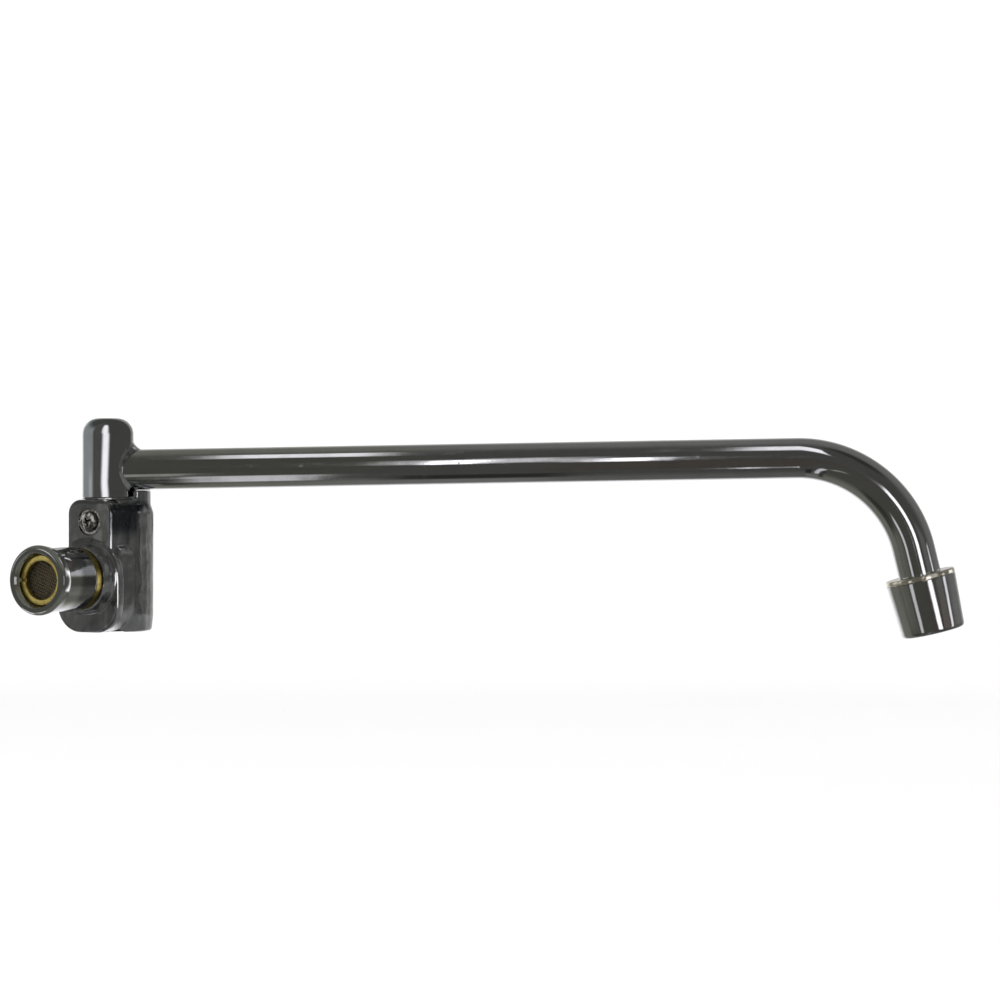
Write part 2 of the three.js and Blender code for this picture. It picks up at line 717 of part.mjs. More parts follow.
const swivelSealRadius = sealGrooveRadius + SLIP_GAP + SWIVEL_SEAL_CORD / 2;
[['upper_swivel_seal', SWIVEL_SEAL_UPPER], ['lower_swivel_seal', SWIVEL_SEAL_LOWER]].forEach(
  ([name, height]) => {
    node(name, turnedZ(cord(swivelSealRadius, height, SWIVEL_SEAL_CORD)), BLACK_RUBBER, swivel);
  },
);

node(
  'swivel_washer',
  turnedZ(ring(BORE_RADIUS, POST_RADIUS, washerLow, washerHigh)).translate(0, ahead(0), 0),
  STEEL,
);

// ---------------------------------------------------------------- post, arm and braze

const arm = new THREE.Group(); // local +X along the straight arm, which climbs a little
arm.position.set(0, 0, spoutHeight);
arm.rotation.y = -degrees(SPOUT_RISE);
arm.updateMatrix();

const postTop = spoutHeight + POST_ABOVE_ARM;
const inArm = (geometry) => geometry.applyMatrix4(arm.matrix);

function alongX(geometry) {
  return geometry.rotateZ(-Math.PI / 2); // a piece turned about Y, laid along X
}

function post() {
  const domeRadius = POST_RADIUS - POST_DOME;
  const domeHeight = postTop - POST_DOME;
  const shell = turnedZ([
    [postBore, postBottom],
    [POST_RADIUS, postBottom],
    ...arc(domeRadius, domeHeight, POST_DOME, 0, 90, 6),
    [0, postTop],
    [0, postTop - POST_WALL],
    ...arc(domeRadius, domeHeight, POST_DOME - POST_WALL, 90, 0, 3),
    [postBore, postBottom],
  ], FINE_ROUND);
  const hole = inArm(alongX(turnedY(rod(TUBE_RADIUS + SLIP_GAP, 0, 2 * POST_RADIUS))));
  return cut(shell, hole);
}

node('spout_post', post(), CHROME, swivel);

// A station on the tube's centre line: straight arm, one bend in the vertical plane, short tail.
const bendTurn = degrees(BEND_ANGLE);

function station(turn, straight, tail) {
  return {
    turn,
    x: straight + BEND_RADIUS * Math.sin(turn) + tail * Math.cos(turn),
    z: -BEND_RADIUS * (1 - Math.cos(turn)) - tail * Math.sin(turn),
    radius: THREE.MathUtils.lerp(TUBE_RADIUS, TAIL_RADIUS, turn / bendTurn),
  };
}

// Points round a station, in the plane square to the centre line.
function stationRing({ turn, x, z }, radius) {
  return spread(TUBE_SIDES, (spin) => {
    const up = radius * Math.cos(spin);
    return [x + up * Math.sin(turn), radius * Math.sin(spin), z + up * Math.cos(turn)];
  });
}

function spoutTube() {
  const stations = [station(0, postBore / 2, 0)];
  for (let i = 0; i <= BEND_STEPS; i += 1) {
    stations.push(station((bendTurn * i) / BEND_STEPS, ARM_LENGTH, 0));
  }
  stations.push(station(bendTurn, ARM_LENGTH, TAIL_LENGTH + TUBE_ENGAGEMENT));
  const outside = stations.map((place) => stationRing(place, place.radius));
  const inside = stations.map((place) => stationRing(place, place.radius - TUBE_WALL));
  const tube = inArm(skinned([...outside, ...inside.reverse()]));
  const reach = 2 * TUBE_RADIUS;
  return cut(tube, turnedZ(rod(postBore + SEAT_GAP, spoutHeight - reach, spoutHeight + reach)));
}

node('spout_tube', spoutTube(), CHROME, swivel);

// Braze metal in the corner between tube and post. Each cross-section lies in a plane through
// the tube's axis. It is full above and below, and thin at the sides, where the walls run together.
function brazeFillet() {
  const rise = degrees(SPOUT_RISE);
  const wall = (radius, turn) => {
    const side = radius * Math.sin(turn);
    const reach = Math.sqrt((POST_RADIUS + SLIP_GAP) ** 2 - side ** 2);
    return (reach + radius * Math.cos(turn) * Math.sin(rise)) / Math.cos(rise);
  };
  const inner = TUBE_RADIUS + SLIP_GAP;
  const rings = spread(FINE_ROUND, (turn) => {
    const full = Math.cos(turn) ** 2;
    const size = THREE.MathUtils.lerp(BRAZE_BOTTOM, BRAZE_TOP, (1 + Math.cos(turn)) / 2);
    const leg = size * (0.4 + 0.6 * full);
    const climb = size * (0.2 + 0.8 * full);
    const edge = 0.22;
    const root = wall(inner, turn);
    const crest = inner + climb;
    const section = [
      [inner, root],
      [inner, root + leg],
      [inner + edge, root + leg],
      [inner + climb * 0.12, root + leg * 0.45],
      [inner + climb * 0.42, wall(inner + climb * 0.42, turn) + leg * 0.14 + edge],
      [crest, wall(crest, turn) + edge],
      [crest, wall(crest, turn)],
      [inner + climb * 0.5, wall(inner + climb * 0.5, turn)],
    ];
    return section.map(([radius, along]) => [along, radius * Math.sin(turn), radius * Math.cos(turn)]);
  });
  return inArm(skinned(rings));
}

node('braze_fillet', brazeFillet(), BRASS, swivel);

// ---------------------------------------------------------------- nozzle

// Pieces of the nozzle are turned about local +Y, which points along the flow.
const nozzle = new THREE.Group();
const nozzlePlace = station(bendTurn, ARM_LENGTH, TAIL_LENGTH);
nozzle.position.set(nozzlePlace.x, 0, nozzlePlace.z);
nozzle.rotation.z = -Math.PI / 2;
nozzle.rotation.y = bendTurn;
arm.add(nozzle);
swivel.add(arm);

const capTop = FLANGE_THICKNESS + SEAT_GAP;
const capBore = SLEEVE_RADIUS + SEAT_GAP;
const capFloor = NOZZLE_LENGTH - MOUTH_LIP;
const housingBottom = capFloor - SEAT_GAP;
const housingRadius = capBore - 2 * SEAT_GAP;
const nozzleWasherTop = SLEEVE_LENGTH + SEAT_GAP;
const housingTop = nozzleWasherTop + NOZZLE_WASHER + SEAT_GAP;
const insertRadius = housingRadius - HOUSING_WALL - SEAT_GAP;
const straightenerBottom = housingBottom - HOUSING_LEDGE - SEAT_GAP;
const straightenerTop = straightenerBottom - STRAIGHTENER_THICKNESS;

function nozzleAdapter() {
  const ledge = TAIL_RADIUS - TUBE_WALL;
  const bore = TAIL_RADIUS + SLIP_GAP;
  return turnedY([
    [bore, 0],
    [NOZZLE_TOP_RADIUS - FLANGE_CHAMFER, 0],
    [NOZZLE_TOP_RADIUS, FLANGE_CHAMFER],
    [NOZZLE_TOP_RADIUS, FLANGE_THICKNESS],
    [SLEEVE_RADIUS, FLANGE_THICKNESS],
    [SLEEVE_RADIUS, SLEEVE_LENGTH],
    [ledge, SLEEVE_LENGTH],
    [ledge, TUBE_ENGAGEMENT + SEAT_GAP],
    [bore, TUBE_ENGAGEMENT + SEAT_GAP],
    [bore, 0],
  ]);
}

function nozzleCap() {
  const low = NOZZLE_LENGTH;
  const edge = NOZZLE_BOTTOM_EDGE;
  return turnedY([
    [capBore, capTop],
    [NOZZLE_TOP_RADIUS - NOZZLE_TOP_EDGE, capTop],
    [NOZZLE_TOP_RADIUS, capTop + NOZZLE_TOP_EDGE],
    ...arc(NOZZLE_BOTTOM_RADIUS - edge, low - edge, edge, 0, 90, 3),
    [MOUTH_RADIUS, low],
    [MOUTH_RADIUS, capFloor],
    [capBore, capFloor],
    [capBore, capTop],
  ], FINE_ROUND);
}

function aeratorHousing() {
  const inner = housingRadius - HOUSING_WALL;
  const ledge = inner - HOUSING_LEDGE;
  return turnedY([
    [inner, housingTop],
    [housingRadius, housingTop],
    [housingRadius, housingBottom],
    [ledge, housingBottom],
    [ledge, housingBottom - HOUSING_LEDGE],
    [inner, housingBottom - HOUSING_LEDGE],
    [inner, housingTop],
  ]);
}

// Places of holes on a triangular grid inside a circle.
function gridPlaces(pitch, limit) {
  const places = [];
  const rows = Math.floor(limit / (pitch * Math.sin(Math.PI / 3)));
  for (let row = -rows; row <= rows; row += 1) {
    const y = row * pitch * Math.sin(Math.PI / 3);
    const shift = (Math.abs(row) % 2) * (pitch / 2);
    const columns = Math.ceil(limit / pitch) + 1;
    for (let column = -columns; column <= columns; column += 1) {
      const x = column * pitch + shift;
      if (Math.hypot(x, y) <= limit) places.push([x, y]);
    }
  }
  return places;
}

// A round plate pierced on a triangular grid, laid square to Y from low to high.
function piercedDisc(radius, low, high, pitch, holeRadius, sides) {
  const pins = gridPlaces(pitch, radius - pitch * 0.9).map(([x, y]) => (
    turnedY(rod(holeRadius, low - 1, high + 1), sides).translate(x, 0, y)
  ));
  return cut(turnedY(rod(radius, low, high), SMALL_ROUND), mergeGeometries(pins));
}

const screenBottom = straightenerTop - SEAT_GAP;
const upperScreenBottom = screenBottom - SCREEN_THICKNESS - SEAT_GAP;

node('nozzle_adapter', nozzleAdapter(), BRASS, nozzle);
node('nozzle_cap', nozzleCap(), CHROME, nozzle);
node(
  'nozzle_washer',
  turnedY(ring(TAIL_RADIUS - TUBE_WALL, housingRadius, nozzleWasherTop, nozzleWasherTop + NOZZLE_WASHER)),
  BLACK_RUBBER,
  nozzle,
);
node('aerator_housing', aeratorHousing(), WHITE_PLASTIC, nozzle);
node(
  'flow_straightener',
  piercedDisc(
    insertRadius,
    straightenerTop,
    straightenerBottom,
    STRAIGHTENER_PITCH,
    STRAIGHTENER_HOLE,
    6,
  ),
  WHITE_PLASTIC,
  nozzle,
);
[['lower_aerator_screen', screenBottom], ['upper_aerator_screen', upperScreenBottom]].forEach(
  ([name, low]) => {
    const high = low - SCREEN_THICKNESS;
    node(name, piercedDisc(insertRadius, high, low, SCREEN_PITCH, SCREEN_HOLE, 4), STEEL, nozzle);
  },
);

// ---------------------------------------------------------------- inlet coupling

const lockRingStart = BOSS_END + SEAT_GAP;
const barrelStart = lockRingStart + LOCK_RING_THICKNESS + SEAT_GAP;
const spigotEnd = SEAT_POCKET_END + SEAT_GAP;

function inletCoupling() {
  const collarRadius = BARREL_RADIUS + COLLAR_STEP;
  const lipOuter = collarRadius - COLLAR_ROUND;
  const lipInner = lipOuter - LIP_WIDTH;
  const backRound = COLLAR_LENGTH - COLLAR_ROUND - COLLAR_LAND;
  const backTurn = Math.acos(1 - COLLAR_STEP / backRound);
  const backStart = -THREE.MathUtils.radToDeg(backTurn); // where the back meets the barrel
  return turnedY([
    [SPIGOT_BORE, ahead(spigotEnd)],
    [SPIGOT_RADIUS, ahead(spigotEnd)],
    [SPIGOT_RADIUS, ahead(barrelStart)],
    [BARREL_RADIUS - BARREL_EDGE, ahead(barrelStart)],
    [BARREL_RADIUS, ahead(barrelStart + BARREL_EDGE)],
    ...arc(collarRadius - backRound, backRound - COLLAR_LENGTH, backRound, backStart, 0, 3),
    ...arc(collarRadius - COLLAR_ROUND, -COLLAR_ROUND, COLLAR_ROUND, 0, 90, 4),
    [lipInner, 0],
    [INLET_BORE, -MOUTH_CHAMFER],
    [INLET_BORE, ahead(INLET_STEP)],
    [SPIGOT_BORE, ahead(INLET_STEP)],
    [SPIGOT_BORE, ahead(spigotEnd)],
  ], FINE_ROUND);
}

node('inlet_coupling', inletCoupling(), CHROME);

function lockRing() {
  const bore = SPIGOT_RADIUS + SEAT_GAP;
  const end = lockRingStart + LOCK_RING_THICKNESS;
  const edge = 0.4;
  return turnedY([
    [bore, ahead(lockRingStart)],
    [LOCK_RING_RADIUS - edge, ahead(lockRingStart)],
    [LOCK_RING_RADIUS, ahead(lockRingStart + edge)],
    [LOCK_RING_RADIUS, ahead(end - edge)],
    [LOCK_RING_RADIUS - edge, ahead(end)],
    [bore, ahead(end)],
    [bore, ahead(lockRingStart)],
  ]);
}

node('lock_ring', lockRing(), BRASS);

// ---------------------------------------------------------------- valve seat, guide and poppet

const guideFlangeStart = PORT_END + SEAT_GAP;
const seatStart = guideFlangeStart + GUIDE_FLANGE + SEAT_GAP;
const seatEnd = seatStart + SEAT_THICKNESS;
const lipEnd = seatEnd + SEAT_LIP;
const insertOuter = SEAT_POCKET_RADIUS - SEAT_GAP;

function stemGuide() {
  const bore = STEM_RADIUS + RUN_GAP;
  const flangeEnd = guideFlangeStart + GUIDE_FLANGE;
  const blank = turnedY([
    [bore, ahead(GUIDE_REACH)],
    [PORT_RADIUS - SEAT_GAP, ahead(GUIDE_REACH)],
    [PORT_RADIUS - SEAT_GAP, ahead(guideFlangeStart)],
    [insertOuter, ahead(guideFlangeStart)],
    [insertOuter, ahead(flangeEnd)],
    [bore, ahead(flangeEnd)],
    [bore, ahead(GUIDE_REACH)],
  ], SMALL_ROUND);
  const holes = spread(GUIDE_HOLES, (turn) => (
    turnedY(rod(GUIDE_HOLE_RADIUS, ahead(GUIDE_REACH - 1), ahead(flangeEnd + 1)), HOLE_SIDES)
      .translate(GUIDE_HOLE_CIRCLE * Math.cos(turn), 0, GUIDE_HOLE_CIRCLE * Math.sin(turn))
  ));
  return cut(blank, ...holes);
}

function valveSeat() {
  return turnedY([
    [SEAT_BORE, ahead(seatStart)],
    [insertOuter, ahead(seatStart)],
    [insertOuter, ahead(seatEnd)],
    [SEAT_BORE + SEAT_LIP_WIDTH + 0.4, ahead(seatEnd)],
    [SEAT_BORE + SEAT_LIP_WIDTH, ahead(lipEnd)],
    [SEAT_BORE, ahead(lipEnd)],
    [SEAT_BORE, ahead(seatStart)],
  ], SMALL_ROUND);
}

node('stem_guide', stemGuide(), BRASS);
node('valve_seat', valveSeat(), STEEL);

// The poppet is drawn shut, then moved to where the cam holds it at rest.
const liftAtRest = CAM_RISE_PER_RADIAN * degrees(SWING_AT_REST);
const sealFace = lipEnd + SLIP_GAP + liftAtRest;
const sealBack = sealFace + VALVE_SEAL_THICKNESS;
const plateFace = sealBack + SLIP_GAP;
const plateBack = plateFace + POPPET_PLATE;
const nutFace = plateBack + SLIP_GAP;
const nutBack = nutFace + NUT_THICKNESS;

function pushStem() {
  const nose = arc(0, CAM_PITCH_AT_REST, STEM_RADIUS, -90, 0, 4);
  nose[0][0] = 0;
  return turnedY([
    ...nose.map(([radius, along]) => [radius, ahead(along)]),
    [STEM_RADIUS, ahead(nutBack + 0.6)],
    [0, ahead(nutBack + 0.6)],
  ], 20);
}

function poppet() {
  const bore = STEM_RADIUS + SLIP_GAP;
  return turnedY([
    [bore, ahead(plateFace)],
    [VALVE_SEAL_RADIUS + SLIP_GAP, ahead(plateFace)],
    [VALVE_SEAL_RADIUS + SLIP_GAP, ahead(plateFace - POPPET_RIM)],
    [POPPET_RADIUS, ahead(plateFace - POPPET_RIM)],
    [POPPET_RADIUS, ahead(plateBack - 0.5)],
    [POPPET_RADIUS - 0.5, ahead(plateBack)],
    [bore, ahead(plateBack)],
    [bore, ahead(plateFace)],
  ], SMALL_ROUND);
}

node('push_stem', pushStem(), STEEL);
node(
  'valve_seal',
  turnedY(ring(STEM_RADIUS + SLIP_GAP, VALVE_SEAL_RADIUS, ahead(sealFace), ahead(sealBack)), SMALL_ROUND),
  BLACK_RUBBER,
);
node('poppet', poppet(), BRASS);
node(
  'poppet_nut',
  cut(
    turnedY(rod(NUT_RADIUS, ahead(nutFace), ahead(nutBack)), 6),
    turnedY(rod(STEM_RADIUS + SLIP_GAP, ahead(nutFace - 1), ahead(nutBack + 1)), 20),
  ),
  BRASS,
);

// ---------------------------------------------------------------- spring and strainer stack

const springRestStart = INLET_STEP + SEAT_GAP;
const springRestEnd = springRestStart + SPRING_REST_THICKNESS;
const stackRadius = INLET_BORE - SEAT_GAP;
const ringEnd = SWIVEL_TO_INLET - RING_RECESS;
const ringStart = ringEnd - RING_THICKNESS;
const gasketEnd = ringStart - SEAT_GAP;
const gasketStart = gasketEnd - GASKET_THICKNESS;
const strainerEnd = gasketStart - SEAT_GAP;
const strainerStart = strainerEnd - STRAINER_THICKNESS;

function springRest() {
  const blank = turnedY(rod(stackRadius, ahead(springRestStart), ahead(springRestEnd)));
  const holes = spread(SPRING_REST_HOLES, (turn) => (
    turnedY(rod(SPRING_REST_HOLE_RADIUS, ahead(springRestStart - 1), ahead(springRestEnd + 1)), HOLE_SIDES)
      .translate(SPRING_REST_HOLE_CIRCLE * Math.cos(turn), 0, SPRING_REST_HOLE_CIRCLE * Math.sin(turn))
  ));
  const centre = turnedY(rod(NUT_RADIUS, ahead(springRestStart - 1), ahead(springRestEnd + 1)), 16);
  return cut(blank, centre, ...holes);
}

node('spring_rest', springRest(), BRASS);

class Helix extends THREE.Curve {
  constructor(radius, low, high, turns) {
    super();
    Object.assign(this, { radius, low, high, turns });
  }

  getPoint(t, target = new THREE.Vector3()) {
    const turn = 2 * Math.PI * this.turns * t;
    const along = THREE.MathUtils.lerp(this.low, this.high, t);
    return target.set(this.radius * Math.cos(turn), along, this.radius * Math.sin(turn));
  }
}

function poppetSpring() {
  const reach = SPRING_WIRE + SLIP_GAP;
  const low = ahead(plateBack + reach);
  const high = ahead(springRestStart - reach);
  const path = new Helix(SPRING_RADIUS, low, high, SPRING_TURNS);
  const section = new THREE.Shape().absarc(0, 0, SPRING_WIRE, 0, 2 * Math.PI);
  const settings = { steps: SPRING_TURNS * 10, curveSegments: 3, extrudePath: path };
  return new THREE.ExtrudeGeometry(section, settings);
}

node('poppet_spring', poppetSpring(), STEEL);
node(
  'spacer_sleeve',
  turnedY(ring(
    stackRadius - SPACER_WALL,
    stackRadius,
    ahead(springRestEnd + SEAT_GAP),
    ahead(strainerStart - SEAT_GAP),
  )),
  BRASS,
);
node(
  'strainer_screen',
  piercedDisc(stackRadius, ahead(strainerStart), ahead(strainerEnd), STRAINER_PITCH, STRAINER_HOLE, 4),
  STEEL,
);
node(
  'strainer_gasket',
  turnedY(ring(RING_HOLE + 0.4, stackRadius, ahead(gasketStart), ahead(gasketEnd)), SMALL_ROUND),
  BLACK_RUBBER,
);

function strainerRing() {
  const rim = 0.6;
  const blank = turnedY([
    [RING_HOLE, ahead(ringStart)],
    [stackRadius, ahead(ringStart)],
    [stackRadius, ahead(ringEnd)],
    [RING_HOLE + rim, ahead(ringEnd)],
    [RING_HOLE, ahead(ringEnd - rim)],
    [RING_HOLE, ahead(ringStart)],
  ]);
  const slot = box(3 * INLET_BORE, 2 * RING_SLOT_DEPTH, RING_SLOT_WIDTH, 0, ahead(ringEnd), 0);
  return cut(blank, slot);
}

node('strainer_ring', strainerRing(), BRASS);

export default faucet;
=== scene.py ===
"""Looks of the swing faucet: chrome, brass, woven strainer, soft studio and the photograph's view.

Metres, in the CAD part's frame. The smooth chromed and brass pieces are built here with fine
facets and soft edges, from the same sizes as the solids they stand for.
"""

import json
import math

import bmesh
import bpy
import numpy as np
from mathutils import Matrix, Vector


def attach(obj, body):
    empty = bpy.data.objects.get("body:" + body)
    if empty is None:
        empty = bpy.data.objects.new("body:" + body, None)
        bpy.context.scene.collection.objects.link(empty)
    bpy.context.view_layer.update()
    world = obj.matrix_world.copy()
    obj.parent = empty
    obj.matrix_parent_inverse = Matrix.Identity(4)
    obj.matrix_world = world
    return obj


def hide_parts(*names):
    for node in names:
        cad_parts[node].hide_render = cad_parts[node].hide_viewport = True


MM = 0.001

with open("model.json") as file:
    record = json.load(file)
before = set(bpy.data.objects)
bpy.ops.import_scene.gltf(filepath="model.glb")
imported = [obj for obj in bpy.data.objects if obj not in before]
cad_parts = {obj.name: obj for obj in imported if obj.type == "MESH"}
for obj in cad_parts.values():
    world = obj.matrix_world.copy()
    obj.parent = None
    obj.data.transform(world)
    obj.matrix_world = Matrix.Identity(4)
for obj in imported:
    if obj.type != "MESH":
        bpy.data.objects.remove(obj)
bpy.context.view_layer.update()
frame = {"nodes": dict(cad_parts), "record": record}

# ------------------------------------------------------------------ driving sizes
# In millimetres and degrees, where nothing else is said.

SWIVEL_TO_INLET = 49
SWING_AT_REST = 30
SPOUT_HEIGHT = 46.3
SPOUT_RISE = 1

# Casting: blocks, tongue plate, flare, round back and lug.
BODY_TOP = 33.7
BODY_BOTTOM = -23
UPPER_BLOCK_HALF = 12
UPPER_FACE = 12.9
UPPER_FOOT_CORNER = 3
UPPER_TOP_CORNER = 6
LOWER_BLOCK_HALF = 14.5
LOWER_BLOCK_TOP = 15
LOWER_BLOCK_FACE = 11.2
LOWER_FOOT_CORNER = 9.5
LOWER_TOP_CORNER = 6
BLOCK_EDGE = 1.6
TONGUE_RADIUS = 16.4
TONGUE_CORNER = 12
TONGUE_BACK = 10.3
TONGUE_FACE = 14.3
TONGUE_EDGE = 0.9
FLARE_RADIUS = 14.2
FLARE_END = 21
REAR_OFFSET = 6
REAR_RADIUS = 15.9
REAR_DRAFT = 0.1
REAR_FOOT_TAPER = 0.8
REAR_FOOT_RISE = 7
REAR_SHOULDER_DROP = 5.5
REAR_SHOULDER_SLOPE = 3.3
REAR_STRAIGHT = 4
NECK_RADIUS = 14.7
LUG_TOP = 37.7
LUG_ROOT = 3
LUG_SETBACK = 2
LUG_RELIEF = 13.2
CAST_VOXEL = 0.42
CAST_SMOOTHING = 9

# Bores in the casting.
SWIVEL_BORE = 10
CHAMBER_FLOOR = -14.5
CHAMBER_MOUTH = 9
PLUG_BORE = 11.5
PLUG_TOP = -14.8
PORT_RADIUS = 6.9
PORT_END = 11.4
SEAT_POCKET = 9.4
SEAT_POCKET_END = 14.9
SPIGOT_HOLE = 9.7

# Stop screw, its recess and its washer.
SCREW_HEIGHT = 24.3
SCREW_RADIUS = 2
SCREW_TIP = 8.4
SCREW_HOLE_START = 1
SCREW_HEAD = 4.1
SCREW_HEAD_FACE = 12.6
SCREW_HEAD_HEIGHT = 2.4
SCREW_CROWN_DROP = 1.1
SCREW_CROWN_SHARE = 0.55
CROSS_TURN = 20
CROSS_SECTIONS = ((2.6, 0.62, 0.6), (2.3, 0.52, 0), (0.9, 0.34, -1.7))  # half span, half width, height
RECESS_RADIUS = 6.1
RECESS_DEPTH = 1.6
WASHER_RADIUS = 5.6
WASHER_FACE = 11.45
WASHER_THICKNESS = 1

# Post, tube and the braze between them.
POST_RADIUS = 10.9
POST_BORE = 9.2
POST_BOTTOM = 34.5
POST_TOP = 68.6
POST_DOME = 6.8

TUBE_RADIUS = 8.7
TAIL_RADIUS = 9.2
TUBE_WALL = 1.2
TUBE_START = 6.2
ARM_LENGTH = 296.1
BEND_RADIUS = 50.8
BEND_ANGLE = 77.4
TAIL_LENGTH = 11.4
TUBE_ENGAGEMENT = 10
TUBE_CLEARANCE = 0.15
FILLET_TOP = 3.6
FILLET_BOTTOM = 1.9
FILLET_SUNK = 0.1

# Nozzle: adapter and cap.
NOZZLE_LENGTH = 25.6
NOZZLE_TOP = 15
NOZZLE_BOTTOM = 13.6
FLANGE_THICKNESS = 2
SLEEVE_RADIUS = 11.6
SLEEVE_LENGTH = 12.5
CAP_BORE = 11.9
MOUTH_RADIUS = 10
MOUTH_LIP = 2.1

# Inlet: coupling, lock ring, strainer ring and mesh. Places run along the inlet's axis.
SPIGOT_RADIUS = 9.4
SPIGOT_BORE = 8.2
SPIGOT_START = 15.2
LOCK_RING_RADIUS = 13.2
LOCK_RING_START = 21.3
LOCK_RING_END = 24.9
BARREL_RADIUS = 13.7
BARREL_START = 25.2
INLET_BORE = 10.9
INLET_STEP = 35
COLLAR_RADIUS = 14.7
COLLAR_FRONT = 1.8
COLLAR_BACK = 4.6
COLLAR_ROUND_BACK = 2
COLLAR_TAPER = 0.4
LIP_INNER = 11.6
LIP_BEVEL = 0.9
THREAD_START = 1.1
THREAD_PITCH = 1.8
THREAD_DEPTH = 0.45
RING_TOP = 45.8
RING_BOTTOM = 43.6
RING_HOLE = 8
RING_OUTER = 10.6
RING_SLOT = 1.4
RING_SLOT_DEPTH = 0.9
RING_SLOT_REACH = 14
MESH_PLACE = 41.8
MESH_RADIUS = 10.5
MESH_PITCH = 0.95
MESH_WIRE = 0.17
MESH_CRIMP = 0.19
MESH_TURN = 24
MESH_FILL = 0.97  # share of the radius that holds wires

CLEARANCE = 0.3  # between pieces that slide into each other
OVERLAP = 1  # how far a cutter or a joined solid reaches past the face it meets

# Camera: level, looking at the arm from the wall side.
VIEW_AZIMUTH = 210
VIEW_HEIGHT = 33.5
VIEW_ALONG_SPOUT = 168.6
VIEW_DISTANCE = 1.3  # metres
VIEW_WIDTH = 0.43  # metres of the spout's plane across the picture

# Floor and room, in metres, and the strength of the studio's light.
FLOOR_DEPTH = 0.32
SWEEP_NEAR = 3
SWEEP_FLAT = 4
SWEEP_ROUND = 2
SWEEP_TOP = 6
SWEEP_HALF_WIDTH = 6
ROOM_RADIUS = 60
SHELL_STEP = 2
STUDIO_STRENGTH = 1.3

# Facets, and where the tube's rings of them start.
ROUND = 128
SMALL_ROUND = 72
LUG_STEPS = 61
ARM_FIRST_STATION = 40
TAIL_FIRST_STATION = 5
ARM_STATIONS = 24
BEND_STATIONS = 72
FILLET_SECTIONS = 160
FILLET_STEPS = 12
WIRE_POINTS = 89

# ------------------------------------------------------------------ places

inlet_frame = Matrix.Translation((0, -SWIVEL_TO_INLET, 0))
swivel_frame = inlet_frame @ Matrix.Rotation(math.radians(180 + SWING_AT_REST), 4, "Z")
arm_frame = (
    swivel_frame
    @ Matrix.Translation((0, 0, SPOUT_HEIGHT))
    @ Matrix.Rotation(-math.radians(SPOUT_RISE), 4, "Y")
)


def arm_station(turn, straight=0.0, tail=0.0):
    """A frame on the tube's centre line: local Z runs along the flow."""
    x = straight + BEND_RADIUS * math.sin(turn) + tail * math.cos(turn)
    z = -BEND_RADIUS * (1 - math.cos(turn)) - tail * math.sin(turn)
    return arm_frame @ Matrix.Translation((x, 0, z)) @ Matrix.Rotation(math.pi / 2 + turn, 4, "Y")


bend = math.radians(BEND_ANGLE)
nozzle_frame = arm_station(bend, ARM_LENGTH, TAIL_LENGTH)
along_y = Matrix.Rotation(-math.pi / 2, 4, "X")  # turned about Z, laid along Y
inlet_axis = inlet_frame @ along_y
screw_axis = Matrix.Translation((0, 0, SCREW_HEIGHT)) @ inlet_axis

# ------------------------------------------------------------------ shader maths


class Field:
    """A shader socket that takes part in Python sums."""

    def __init__(self, paint, socket):
        self.paint = paint
        self.socket = socket

    def math(self, operation, *others):
        return self.paint.math(operation, self, *others)

    def __add__(self, other):
        return self.math("ADD", other)

    def __radd__(self, other):
        return self.math("ADD", other)

    def __sub__(self, other):
        return self.math("SUBTRACT", other)

    def __rsub__(self, other):
        return self.paint.math("SUBTRACT", other, self)

    def __mul__(self, other):
        return self.math("MULTIPLY", other)

    def __rmul__(self, other):
        return self.math("MULTIPLY", other)


